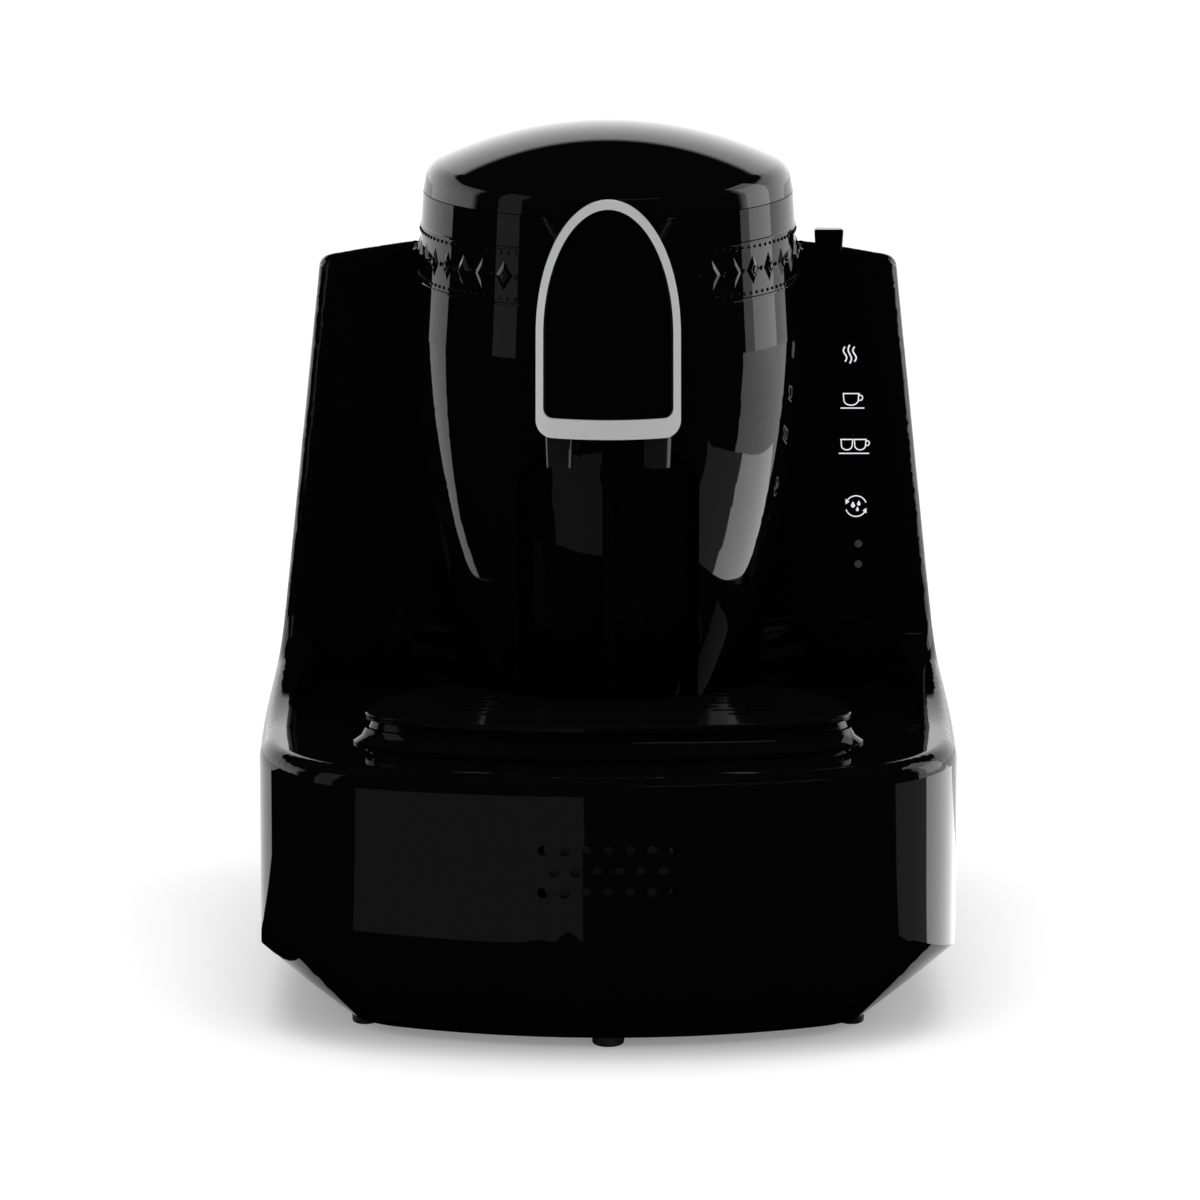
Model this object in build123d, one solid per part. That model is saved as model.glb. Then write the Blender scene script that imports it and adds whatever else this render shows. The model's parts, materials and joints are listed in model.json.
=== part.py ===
from build123d import *

import os
from math import atan2, cos, degrees, hypot, radians, sin, sqrt

# Electric Turkish coffee maker for two small cups. Millimetres, with X to the right, Y to the
# back and Z up. The origin is on the table, under the middle of the body. Everything is drawn
# at rest: lid and tank cover shut, tank docked, tray in place, valve closed, switch off.

# ---- fits ---------------------------------------------------------------
GAP = 0.3                # between pieces that come apart or move
FIT = 0.05               # radial, between nested pieces that stay together
RUN = 0.05               # radial, between a pin or rod and its bore

# ---- plan of the body ---------------------------------------------------
WIDTH = 245.0            # across the sides at their widest
DEPTH = 285.0
WIDEST_IN = 92.5         # widest line, behind the front
FRONT_R = 300.0          # bow of the front
SIDE_R = 1000.0
BACK_R = 420.0
FRONT_CORNER_R = 51.0
REAR_CORNER_R = 32.0
FRONT_Y = -DEPTH / 2
BACK_Y = DEPTH / 2
WIDEST_Y = FRONT_Y + WIDEST_IN

# ---- heights, bottom to top ---------------------------------------------
FOOT_H = 4.0
PAN_H = 18.0             # base pan, up to its parting line
TUB_H = 73.0             # base shell, up to the deck moulding
DECK_T = 4.0             # deck plate
RIM_H = 2.5              # deck's rim above its dished floor
COLUMN_H = 133.0
COLLAR_H = 50.0
LID_H = 24.0
HOUSING_H = 171.9        # deck moulding's seam to the highest line of the crown
SPLIT_Z = FOOT_H + PAN_H
SEAM_Z = SPLIT_Z + TUB_H
DECK_Z = SEAM_Z + DECK_T
RIM_Z = DECK_Z + RIM_H
COLLAR_Z = DECK_Z + COLUMN_H
LID_Z = COLLAR_Z + COLLAR_H
TOP_Z = LID_Z + LID_H
CROWN_Z = SEAM_Z + HOUSING_H

# ---- base ---------------------------------------------------------------
BASE_WALL = 2.5
PAN_FLOOR = 3.0
PAN_HALF = 92.0          # half width of the flat bottom
PAN_BACK_IN = 24.5       # bottom's back edge, forward of the back wall
PAN_FRONT_IN = 19.5      # bottom's front edge, behind the front wall
BELLY_H = 46.0           # height over which the belly flares
BELLY_OUT_X = 58.0       # how far the flare goes out over that height
BELLY_OUT_FRONT = 22.0
BELLY_OUT_BACK = 42.0
BELLY_BULGE = 1.5
LIP_H = 4.0              # locating lip of the pan inside the base shell
LIP_T = 1.5
HOLE_R = 1.75            # sound holes in the front
HOLE_PITCH = 7.5
HOLE_ROW = 7             # holes in the long rows
GRILLE_RISE = 46.4       # middle row above the pan's parting line
VENT_W = 3.0             # cooling slots in the back wall and in the pan's floor
VENT_H = 22.0
VENT_PITCH = 7.0
VENTS = 6

# ---- rear housing and deck ----------------------------------------------
WING_BACK = 10.0         # housing's front face behind the column's axis
HOUSING_WALL = 3.0
SIDE_DRAFT_IN = 18.6     # each side leans in by this much from the seam to the form's top
FORM_SPARE = 2.0         # form's top above the crown's highest line
FLARE_RUN = 77.5         # over which the side rims rise to the housing's face
FLARE_R = 250.0
FLARE_FOOT_R = 14.0      # hollow where the rims turn up into the housing's face
RIM_R = 6.0              # rolled edge of the deck and of the housing's outer corners
CROWN_R = 540.0
CROWN_SLOPE = 13.0       # degrees that the crown falls to the back
CROWN_EDGE_R = 4.4
DISH_HALF = 110.0        # oval, dished floor of the deck
DISH_DEEP = 95.0         # its half depth
DISH_REACH = 36.5        # its middle, in front of the column's axis
DISH_SLOPE = 0.5
DISH_EDGE_R = 4.0
COVER_T = 3.4            # tank cover over the whole housing
BAY_DEEP = 58.5          # tank bay, front to back
BAY_WALL = 3.5
BAY_WINDOW_HALF = 70.0   # half width of the opening behind the tank
CAVITY_TOP_T = 6.9       # crown down to the hollow's ceiling

# ---- column and collar --------------------------------------------------
FRONT_REACH = 141.7      # axis of column, collar, pot and lid behind the body's front
WAIST_R = 42.5           # column at the deck
MID_R = 62.5             # column half way up
SHOULDER_R = 69.0        # column at the collar
LIP_R = 65.7             # collar at the lid
STEM_WALL = 2.5
STEM_GAP = 0.5           # housing to column
CABLE_HOLE_R = 36.0      # hole in the deck under the column
NICHE_W = 30.0           # arched cup niches
NICHE_TOP = 101.0        # above the deck
NICHE_DEPTH = 6.0
SHELF_DROP = 1.5         # collar's shelf under the lid seam
SHELF_T = 2.5
AXIS_Y = FRONT_Y + FRONT_REACH
WING_Y = AXIS_Y + WING_BACK
FLARE_Y = WING_Y - FLARE_RUN
BAY_Y = BACK_Y - BAY_DEEP

# ---- spout head ---------------------------------------------------------
HEAD_HALF = 25.1
HEAD_DROP = 22.7         # bottom of the head below the collar seam
HEAD_STRAIGHT = 34.0     # straight sides, before the arch
HEAD_ARCH = 45.5
HEAD_REACH = 92.5        # front of the head at its bottom, from the column's axis
HEAD_TOP_REACH = 69.5
NOSE_R = 55.0            # bow of the head's front in plan
HEAD_CORNER_R = 5.5
HEAD_WALL = 2.0
FRAME_T = 3.5            # plaque frame, front to back
FRAME_SIDE = 2.6
FRAME_TOP = 2.9
FRAME_BOTTOM = 6.4
FRAME_WINDOW_R = 3.2
PLAQUE_RECESS = 0.8
NOZZLE_HALF_X = 17.0
NOZZLE_REACH = 78.0
NOZZLE_R = 5.0
NOZZLE_TIP_R = 4.6
NOZZLE_BORE_R = 3.0
NOZZLE_DROP = 12.1       # below the head
HEAD_Z = COLLAR_Z - HEAD_DROP
SPRING_Z = HEAD_Z + HEAD_STRAIGHT
HEAD_TOP_Z = SPRING_Z + HEAD_ARCH
HEAD_TILT = degrees(atan2(HEAD_REACH - HEAD_TOP_REACH, HEAD_TOP_Z - HEAD_Z))

# ---- brewing pot and heater ---------------------------------------------
POT_R = 38.0
POT_FOOT_R = 35.0
POT_WALL = 1.5
POT_DEPTH = 49.0
POT_FLANGE_R = 46.0
POT_FLANGE_T = 1.2
POT_EDGE_R = 7.0
SEAL_T = 0.5
HEATER_R = 34.0
HEATER_T = 6.0
ELEMENT_R = 24.0
ELEMENT_ROD_R = 3.3
ELEMENT_ARC = 290.0
TERMINAL_L = 7.0
JACKET_R = 47.0
JACKET_WALL = 2.0
JACKET_BELOW = 15.0      # jacket's floor below the heater plate
SHELF_Z = LID_Z - SHELF_DROP
FLANGE_Z = SHELF_Z + SEAL_T
POT_Z = FLANGE_Z + POT_FLANGE_T - POT_DEPTH - POT_WALL
HEATER_Z = POT_Z - HEATER_T
JACKET_Z = HEATER_Z - JACKET_BELOW

# ---- discharge valve and pour channel -----------------------------------
VALVE_BACK = 22.0        # valve's axis in front of the column's axis
VALVE_HOLE_R = 3.0
VALVE_R = 8.0
VALVE_BORE_R = 4.1
PLUG_R = 3.7
PLUG_T = 3.5
STEM_ROD_R = 2.5
COIL_R = 11.0
COIL_H = 24.0
SPRING_R = 3.1
SPRING_WIRE_R = 0.35
SPRING_TURNS = 3.5
FEED_R = 3.0             # tube from the valve to the cross tube
FEED_BORE_R = 2.0
CHANNEL_R = 3.4          # cross tube over the nozzles
CHANNEL_BORE_R = 2.4
CHANNEL_DROP_R = 1.8     # bore of its two drops
CHANNEL_REACH = 77.2
CHANNEL_RISE = 9.2       # channel's axis above the head's bottom
VALVE_Y = AXIS_Y - VALVE_BACK
CHANNEL_Z = HEAD_Z + CHANNEL_RISE
CHANNEL_Y = AXIS_Y - CHANNEL_REACH

# ---- lid ----------------------------------------------------------------
LID_WALL = 2.5
DOME_R = 141.0
DOME_EDGE_R = 8.0
LINER_R = 58.5
LINER_T = 2.0
LINER_RISE = 7.0         # liner's underside above the lid seam
SKIRT_T = 2.5
SKIRT_H = 5.0
HINGE_REACH = 67.0       # lid hinge behind the column's axis
HINGE_RISE = 3.0         # above the lid seam
HINGE_R = 3.0
HINGE_PIN_R = 1.25
KNUCKLE_HALF = 7.5
EAR_OUT = 13.0
HINGE_Y = AXIS_Y + HINGE_REACH
HINGE_Z = LID_Z + HINGE_RISE

# ---- tank and its cover -------------------------------------------------
TANK_GAP = 0.7
TANK_WALL = 2.2
TANK_FLOOR = 2.5
TANK_TOP_DROP = 46.1     # tank's rim below the highest line of the crown
TANK_BACK_GAP = 1.0      # bay's front wall to the tank
NECK_IN = 24.5           # tank's neck in front of the body's back
NECK_R = 8.5
NECK_BORE_R = 6.0
NECK_H = 6.0
DOCK_R = 12.0
DOCK_FLANGE_R = 16.0
DOCK_FLANGE_T = 3.0
BARB_R = 2.5
BARB_BORE_R = 1.5
BARB_H = 10.0
COVER_HINGE_IN = 2.0     # cover hinge in front of the housing's back
COVER_HINGE_DROP = 3.0   # below the tank's rim
COVER_HINGE_R = 2.5
COVER_PIN_R = 1.2
COVER_EAR_X = 50.0
COVER_EAR_W = 6.0
COVER_CLEAR = 2.0        # cover's notch round the collar
EAR_CLEAR = 1.5          # and behind the lid's ears, past which it lifts with the tank
EAR_NOTCH_HALF = EAR_OUT + 9.0
TAB_X = 79.0             # grip tab on the cover's front edge
TAB_W = 9.6
TAB_T = 5.0
TAB_H = 4.8
TAB_FLARE = 1.0
TAB_PROUD = 0.6          # tab in front of the housing's face
TANK_Z = DECK_Z + GAP
TANK_TOP = CROWN_Z - TANK_TOP_DROP
TANK_H = TANK_TOP - TANK_Z
NECK_Y = BACK_Y - NECK_IN
CROWN_BACK_Y = BACK_Y - 1.5
COVER_HINGE_Y = CROWN_BACK_Y - COVER_HINGE_IN
COVER_HINGE_Z = TANK_TOP - COVER_HINGE_DROP

# ---- drip tray and cup stand --------------------------------------------
TRAY_HALF = 84.8
TRAY_REACH = 82.6        # widest line of the tray, from the column's axis
TRAY_FRONT = 23.5        # half depth in front of that line
TRAY_REAR = 55.0
TRAY_COLUMN_R = 66.0     # hollow back edge round the column, wide enough to lift past it
TRAY_CORNER_R = 6.0
TRAY_H = 6.2
TRAY_OUT = 4.2           # foot of the tray stands out by this much
TRAY_WALL = 1.8
TRAY_FLOOR = 1.6
STAND_H = 5.2
STAND_T = 2.2
STAND_IN = 2.6           # waist under the stand's edge
CUP_X = 43.0
CUP_REACH = 70.0
SLOT_L = 8.0
SLOT_W = 2.2
SLOT_PITCH = 5.5
SLOT_FIELD_R = 17.0
TRAY_Z = DECK_Z + GAP
STAND_Z = TRAY_Z + TRAY_H + GAP
STAND_TOP = STAND_Z + STAND_H
TRAY_Y = AXIS_Y - TRAY_REACH
CUP_Y = AXIS_Y - CUP_REACH

# ---- switch, gland and electrics ----------------------------------------
SWITCH_RISE = 50.0       # above the pan's parting line
SWITCH_W = 18.0
SWITCH_H = 23.0
SWITCH_DEPTH = 15.0
BEZEL_OUT = 2.0          # bezel beyond the switch body, all round
BEZEL_T = 1.6
ROCKER_W = 12.0
ROCKER_H = 16.0
ROCKER_SWING = 16.0      # degrees between off and on
ROCKER_SINK = 6.7        # rocker's pivot inside the bezel's face
ROCKER_PIN_R = 1.2
GLAND_RISE = 20.0
GLAND_R = 6.0
GLAND_FLANGE_R = 9.0
GLAND_BORE_R = 3.6
GLAND_L = 16.0
SPEAKER_R = 23.0
SPEAKER_T = 6.0
BOARD_T = 1.6
BOARD_RISE = 9.0         # power board above the pan's floor
POST_R = 3.0
SCREW_R = 1.9
SCREW_HEAD_R = 3.8
SCREW_POST_R = 4.5
LENS_R = 1.4
LENS_IN = 32.0           # lenses inside the body's side
LENS_RISE = (44.5, 52.0)  # indicator lenses above the deck
TOUCH_CLEAR = 8.5        # touch board beside the collar's widest line
PUMP_IN = 62.5           # pump's middle inside the body's side
PUMP_BACK = 37.5         # and behind the column's axis
PUMP_Z = 45.0
PUMP_W = 32.0
PUMP_L = 48.0
PUMP_NOSE_R = 9.0
PUMP_NOSE_L = 12.0
SPIGOT_L = 8.0           # length of a hose end on its barb
MOUNT_R = 8.0
HOSE_R = 4.0
HOSE_BORE_R = 2.55
INLET_REACH = 52.0       # water inlet behind the column's axis
INLET_TOP = 4.7          # its elbow above the collar's shelf
LENS_X = WIDTH / 2 - LENS_IN
PUMP_X = WIDTH / 2 - PUMP_IN
PUMP_Y = AXIS_Y + PUMP_BACK
INNER_FLOOR = FOOT_H + PAN_FLOOR
GRILLE_Z = SPLIT_Z + GRILLE_RISE
SWITCH_Z = SPLIT_Z + SWITCH_RISE
GLAND_Z = SPLIT_Z + GLAND_RISE
BOARD_Z = INNER_FLOOR + BOARD_RISE

BIG = 400.0              # longer than anything here, for cutting tools
UP = (Align.CENTER, Align.CENTER, Align.MIN)


# ---- plain shapes -------------------------------------------------------
def post(x, y, z0, z1, r):
    """Upright cylinder."""
    return Pos(x, y, z0) * Cylinder(r, z1 - z0, align=UP)


def rod_y(x, z, y0, y1, r):
    """Cylinder from front to back."""
    return Pos(x, y0, z) * Rot(-90, 0, 0) * Cylinder(r, y1 - y0, align=UP)


def rod_x(y, z, x0, x1, r):
    """Cylinder from left to right."""
    return Pos(x0, y, z) * Rot(0, 90, 0) * Cylinder(r, x1 - x0, align=UP)


def block(x0, x1, y0, y1, z0, z1):
    middle = Pos((x0 + x1) / 2, (y0 + y1) / 2, (z0 + z1) / 2)
    return middle * Box(x1 - x0, y1 - y0, z1 - z0)


def mirrored(shape):
    """A shape and its mirror image on the other side."""
    return shape + mirror(shape, Plane.YZ)


def turned(points, x=0.0, y=AXIS_Y):
    """Body turned round an upright axis, from (radius, height) points."""
    profile = make_face(Plane.XZ * Polyline(*points, close=True))
    return Pos(x, y, 0) * revolve(profile, Axis.Z)


def hose(points, bend, outer_r, bore_r):
    """Tube along straight runs joined by arcs."""
    path = FilletPolyline(*points, radius=bend)
    start = Plane(origin=path @ 0, z_dir=path % 0)
    return sweep(start * (Circle(outer_r) - Circle(bore_r)), path=path)


# ---- the body's forms ---------------------------------------------------
def outline(z, half_w, front_y, back_y, front_r, corner_r, rear_r, inset):
    """Plan section with bowed front, sides and back, all moved in by inset."""
    front = Pos(0, front_y + front_r) * Circle(front_r - inset)
    back = Pos(0, back_y - BACK_R) * Circle(BACK_R - inset)
    right = Pos(half_w - SIDE_R, WIDEST_Y) * Rot(0, 0, 180) * Circle(SIDE_R - inset)
    left = Pos(SIDE_R - half_w, WIDEST_Y) * Circle(SIDE_R - inset)
    face = front & back & right & left
    face = fillet(face.vertices().sort_by(Axis.Y)[:2], corner_r - inset)
    face = fillet(face.vertices().sort_by(Axis.Y)[-2:], rear_r - inset)
    return Pos(0, 0, z) * face


def plan(z, inset=0.0):
    return outline(z, WIDTH / 2, FRONT_Y, BACK_Y, FRONT_R, FRONT_CORNER_R, REAR_CORNER_R, inset)


def crown_plan(z, inset=0.0):
    """Plan of the rear housing at its crown, where the sides have leaned in."""
    half_w = WIDTH / 2 - SIDE_DRAFT_IN
    return outline(z, half_w, FRONT_Y + SIDE_DRAFT_IN, CROWN_BACK_Y, FRONT_R,
                   FRONT_CORNER_R - 10, REAR_CORNER_R - 4, inset)


def belly_plan(share, inset):
    """Section of the belly's flare, with share 0 at the flat bottom and 1 at its widest."""
    bulge = BELLY_BULGE * 4 * share * (1 - share)
    return outline(FOOT_H + share * BELLY_H,
                   PAN_HALF + share * BELLY_OUT_X + bulge,
                   FRONT_Y + PAN_FRONT_IN - share * BELLY_OUT_FRONT - bulge,
                   BACK_Y - PAN_BACK_IN + share * BELLY_OUT_BACK + bulge,
                   200 + 100 * share, 28 + 42 * share, 30 + 20 * share, inset)


def base_form(inset=0.0):
    """Solid form of the base: upright walls above, raked belly below."""
    walls = extrude(plan(FOOT_H, inset), SEAM_Z - FOOT_H)
    slant = 1.4 * inset
    flare = loft([belly_plan(share, slant).face() for share in (0, 0.45, 1)])
    above = extrude(belly_plan(1, slant), SEAM_Z - FOOT_H - BELLY_H)
    return walls & (flare + above)


def upper_form(inset=0.0):
    """Plan of the base carried up to the crown, with its sides leaning in."""
    top = crown_plan(CROWN_Z + FORM_SPARE, inset)
    return loft([plan(SEAM_Z, inset).face(), top.face()], ruled=True)


def crown_prism(z):
    """Everything under a crowned surface, at z over the housing's face and falling to the back."""
    return Pos(0, WING_Y, z) * Rot(-CROWN_SLOPE, 0, 0) * rod_y(0, -CROWN_R, -BIG, BIG, CROWN_R)


def side_prism():
    """Side view of the deck moulding: flat rim, rising flare, upright housing."""
    half_run = (WING_Y - FLARE_Y) / 2
    mid_z = RIM_Z + FLARE_R - sqrt(FLARE_R**2 - half_run**2)
    end_z = RIM_Z + FLARE_R - sqrt(FLARE_R**2 - 4 * half_run**2)
    low, high = SEAM_Z - 5, CROWN_Z + 10
    with BuildSketch(Plane.YZ) as side:
        with BuildLine():
            Polyline((-BIG / 2, low), (-BIG / 2, RIM_Z), (FLARE_Y, RIM_Z))
            ThreePointArc((FLARE_Y, RIM_Z), (FLARE_Y + half_run, mid_z), (WING_Y, end_z))
            Polyline((WING_Y, end_z), (WING_Y, high), (BIG / 2, high), (BIG / 2, low),
                     (-BIG / 2, low))
        make_face()
        foot = side.vertices().sort_by_distance((WING_Y, end_z))[0]
        fillet(foot, FLARE_FOOT_R)
    return extrude(side.sketch, BIG / 2, both=True)


def on_rolled_edge(edge):
    """Whether an edge runs along the rim, the flare or the housing's outer front corner."""
    spots = [edge.position_at(share) for share in (0, 0.5, 1)]
    in_front = all(spot.Y < WING_Y + 0.01 and spot.Z > RIM_Z - 0.01 for spot in spots)
    below_crown = spots[1].Z < CROWN_Z - 1 and edge.geom_type != GeomType.LINE
    return in_front and below_crown


def on_crown(edge):
    """Whether an edge lies in the crowned top surface."""
    slope = radians(CROWN_SLOPE)
    for share in (0, 0.3, 0.5, 1):
        spot = edge.position_at(share)
        above = (spot.Y - WING_Y) * sin(slope) + (spot.Z - CROWN_Z) * cos(slope)
        if abs(hypot(spot.X, above + CROWN_R) - CROWN_R) > 0.01:
            return False
    return True


def deck_moulding():
    """Whole outer form of deck and rear housing, with the cover still on it."""
    form = upper_form() & side_prism() & crown_prism(CROWN_Z)
    form = fillet(form.edges().filter_by(on_rolled_edge), RIM_R)
    return fillet(form.edges().filter_by(on_crown), CROWN_EDGE_R)


def stem(grow, low=DECK_Z, high=LID_Z):
    """Column and collar as one turned body, its radius grown by grow."""
    half = (DECK_Z + COLLAR_Z) / 2
    with BuildSketch(Plane.XZ) as side:
        with BuildLine():
            Polyline((0, LID_Z), (0, DECK_Z), (WAIST_R + grow, DECK_Z))
            ThreePointArc((WAIST_R + grow, DECK_Z), (MID_R + grow, half),
                          (SHOULDER_R + grow, COLLAR_Z))
            Polyline((SHOULDER_R + grow, COLLAR_Z), (LIP_R + grow, LID_Z), (0, LID_Z))
        make_face()
    whole = Pos(0, AXIS_Y, 0) * revolve(side.sketch, Axis.Z)
    if low <= DECK_Z and high >= LID_Z:
        return whole
    return whole & block(-BIG, BIG, -BIG, BIG, low, high)


# ---- base ---------------------------------------------------------------
SCREW_X, SCREW_Y = WIDTH / 2 - 44.5, FRONT_Y + 82.5
REAR_SCREW_X, REAR_SCREW_Y = 40.0, BACK_Y - 38.5
SCREW_SPOTS = [(SCREW_X, SCREW_Y), (-SCREW_X, SCREW_Y), (REAR_SCREW_X, REAR_SCREW_Y),
               (-REAR_SCREW_X, REAR_SCREW_Y)]
BOARD_W = 64.0
BOARD_L = 85.0
BOARD_X = (30.5 - WIDTH / 2, 30.5 - WIDTH / 2 + BOARD_W)
BOARD_Y = (FRONT_Y + 92.5, FRONT_Y + 92.5 + BOARD_L)


def grille_holes():
    """Three staggered rows of sound holes through the front wall."""
    holes = []
    for row in (-1, 0, 1):
        count = HOLE_ROW if row else HOLE_ROW - 1
        for n in range(count):
            x = (n - (count - 1) / 2) * HOLE_PITCH
            holes.append(rod_y(x, GRILLE_Z + row * HOLE_PITCH, FRONT_Y - 5, FRONT_Y + 10, HOLE_R))
    return holes


def back_vents():
    """Upright cooling slots through the back wall, beside the switch."""
    slots = []
    for side in (-1, 1):
        for n in range(VENTS):
            x = side * (38 + n * VENT_PITCH)
            slots.append(block(x - VENT_W / 2, x + VENT_W / 2, BACK_Y - 25, BACK_Y + 5,
                               SWITCH_Z - VENT_H / 2, SWITCH_Z + VENT_H / 2))
    return slots


def base_shell():
    above_split = block(-BIG, BIG, -BIG, BIG, SPLIT_Z, SEAM_Z)
    shell = (base_form() - base_form(BASE_WALL)) & above_split
    ring = rod_y(0, GRILLE_Z, FRONT_Y, FRONT_Y + 12, SPEAKER_R + 2.2)
    ring -= rod_y(0, GRILLE_Z, FRONT_Y - 1, FRONT_Y + 13, SPEAKER_R + 0.2)
    shell += ring & base_form(BASE_WALL / 2)
    shell -= grille_holes() + back_vents()
    shell -= bezel_block(0.2, BACK_Y - 10)
    return shell - rod_y(0, GLAND_Z, BACK_Y - 10, BACK_Y + 5, GLAND_R + 0.2)


def base_pan():
    pan = base_form() & block(-BIG, BIG, -BIG, BIG, FOOT_H, SPLIT_Z)
    pan -= base_form(BASE_WALL) & block(-BIG, BIG, -BIG, BIG, INNER_FLOOR, SPLIT_Z + 1)
    lip_inside = base_form(BASE_WALL + LIP_T)
    lip = base_form(BASE_WALL + 0.1) & block(-BIG, BIG, -BIG, BIG, SPLIT_Z, SPLIT_Z + LIP_H)
    lip += base_form(BASE_WALL - 0.5) & block(-BIG, BIG, -BIG, BIG, SPLIT_Z - LIP_H, SPLIT_Z)
    pan += lip - lip_inside
    for x in BOARD_X:
        for y in BOARD_Y:
            inward_x = x + 5 if x == BOARD_X[0] else x - 5
            inward_y = y + 5 if y == BOARD_Y[0] else y - 5
            pan += post(inward_x, inward_y, INNER_FLOOR - 1, BOARD_Z, POST_R)
    for x, y in SCREW_SPOTS:
        pan += post(x, y, INNER_FLOOR - 1, INNER_FLOOR + 3, SCREW_POST_R + 1.5)
        pan -= post(x, y, FOOT_H - 1, FOOT_H + 2.3, SCREW_HEAD_R + 0.2)
        pan -= post(x, y, FOOT_H - 1, INNER_FLOOR + 4, SCREW_R + 0.3)
    for n in range(VENTS + 2):
        y = AXIS_Y + 20.8 + n * VENT_PITCH
        pan -= block(-20, 20, y, y + VENT_W, FOOT_H - 1, INNER_FLOOR + 1)
    return pan


def base_screws():
    """Four long screws that clamp the pan and the base shell under the deck moulding."""
    screws = []
    for x, y in SCREW_SPOTS:
        head = post(x, y, FOOT_H + 0.2, FOOT_H + 2.2, SCREW_HEAD_R)
        screws.append(head + post(x, y, FOOT_H + 2.2, INNER_FLOOR + 20, SCREW_R))
    return Compound(children=screws)


FOOT_R = 5.6
SIDE_FOOT_R = 4.6
FRONT_FOOT_Y = FRONT_Y + PAN_FRONT_IN + 7
SIDE_FOOT_X, SIDE_FOOT_Y = PAN_HALF - 6.6, FRONT_Y + 54
REAR_FOOT_X, REAR_FOOT_Y = PAN_HALF - 22, BACK_Y - 46.5
FEET = {
    "foot_front": (0.0, FRONT_FOOT_Y, FOOT_R),
    "foot_left": (-SIDE_FOOT_X, SIDE_FOOT_Y, SIDE_FOOT_R),
    "foot_right": (SIDE_FOOT_X, SIDE_FOOT_Y, SIDE_FOOT_R),
    "foot_rear_left": (-REAR_FOOT_X, REAR_FOOT_Y, FOOT_R),
    "foot_rear_right": (REAR_FOOT_X, REAR_FOOT_Y, FOOT_R),
}


def foot(x, y, r):
    pad = post(x, y, 0, FOOT_H, r)
    return fillet(pad.edges().group_by(Axis.Z)[0], 1.2)


# ---- deck moulding, tank cover ------------------------------------------
def dish():
    """Tool for the oval dished floor of the deck, which ends at the housing's face."""
    rise = 60.0
    cone = Cone(DISH_HALF, DISH_HALF + DISH_SLOPE * rise, rise, align=UP)
    cone = fillet(cone.edges().group_by(Axis.Z)[0], DISH_EDGE_R)
    oval = Pos(0, AXIS_Y - DISH_REACH, DECK_Z) * scale(cone, by=(1, DISH_DEEP / DISH_HALF, 1))
    return oval & block(-BIG, BIG, -BIG, WING_Y, DECK_Z - 1, DECK_Z + rise + 1)


def bay_plan(z, inset):
    """Plan of the tank bay or of the tank: the housing's plan at its crown, cut off in front."""
    behind = Pos(0, BAY_Y + BIG / 2, z) * Rectangle(BIG, BIG)
    return crown_plan(z, inset) & behind


def tank_bay():
    bay = extrude(bay_plan(DECK_Z, BAY_WALL), CROWN_Z)
    window = block(-BAY_WINDOW_HALF, BAY_WINDOW_HALF, BAY_Y, BACK_Y + 10, DECK_Z, CROWN_Z + 10)
    return bay + window


def body_shell(moulding):
    """Deck and rear housing in one moulding, hollow behind the housing's face."""
    shell = moulding & crown_prism(CROWN_Z - COVER_T - GAP)
    hollow = upper_form(HOUSING_WALL) & crown_prism(CROWN_Z - CAVITY_TOP_T)
    hollow &= block(-BIG, BIG, WING_Y + HOUSING_WALL, BAY_Y - HOUSING_WALL, SEAM_Z - 1, CROWN_Z)
    hollow -= stem(STEM_GAP + STEM_WALL)
    hollow -= post(0, AXIS_Y, SEAM_Z - 2, DECK_Z + 1, WAIST_R + STEM_GAP + STEM_WALL)
    shell -= hollow
    shell -= dish()
    shell -= stem(STEM_GAP)
    shell -= tank_bay()
    shell -= post(0, AXIS_Y, SEAM_Z - 1, DECK_Z + 1, CABLE_HOLE_R)
    shell -= post(0, NECK_Y, SEAM_Z - 1, DECK_Z + 1, DOCK_R)
    for rise in LENS_RISE:
        shell -= rod_y(LENS_X, DECK_Z + rise, WING_Y - 1, WING_Y + HOUSING_WALL + 1, LENS_R + FIT)
    for x, y in SCREW_SPOTS:
        shell += post(x, y, INNER_FLOOR + 3, SEAM_Z + 1, SCREW_POST_R)
        shell -= post(x, y, INNER_FLOOR + 2, INNER_FLOOR + 25, SCREW_R + RUN)
    return shell


def tank_cover(moulding):
    """Crowned cover of the whole housing, notched round the collar and its hinge ears."""
    cover = moulding - crown_prism(CROWN_Z - COVER_T)
    cover -= post(0, AXIS_Y, COLLAR_Z, CROWN_Z + 10, SHOULDER_R + COVER_CLEAR)
    cover -= block(-EAR_NOTCH_HALF, EAR_NOTCH_HALF, AXIS_Y, HINGE_Y + HINGE_R + EAR_CLEAR,
                   COLLAR_Z, CROWN_Z + 10)
    arm_x = COVER_EAR_X + COVER_EAR_W + GAP
    arm = rod_x(COVER_HINGE_Y, COVER_HINGE_Z, arm_x, arm_x + COVER_EAR_W, COVER_HINGE_R)
    arm += block(arm_x, arm_x + COVER_EAR_W, COVER_HINGE_Y - 2, COVER_HINGE_Y + 2,
                 COVER_HINGE_Z, CROWN_Z - COVER_T)
    arm &= crown_prism(CROWN_Z - COVER_T + 1)
    cover += mirrored(arm)
    bore = rod_x(COVER_HINGE_Y, COVER_HINGE_Z, -BIG / 4, BIG / 4, COVER_PIN_R + RUN)
    return cover - bore


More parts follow.
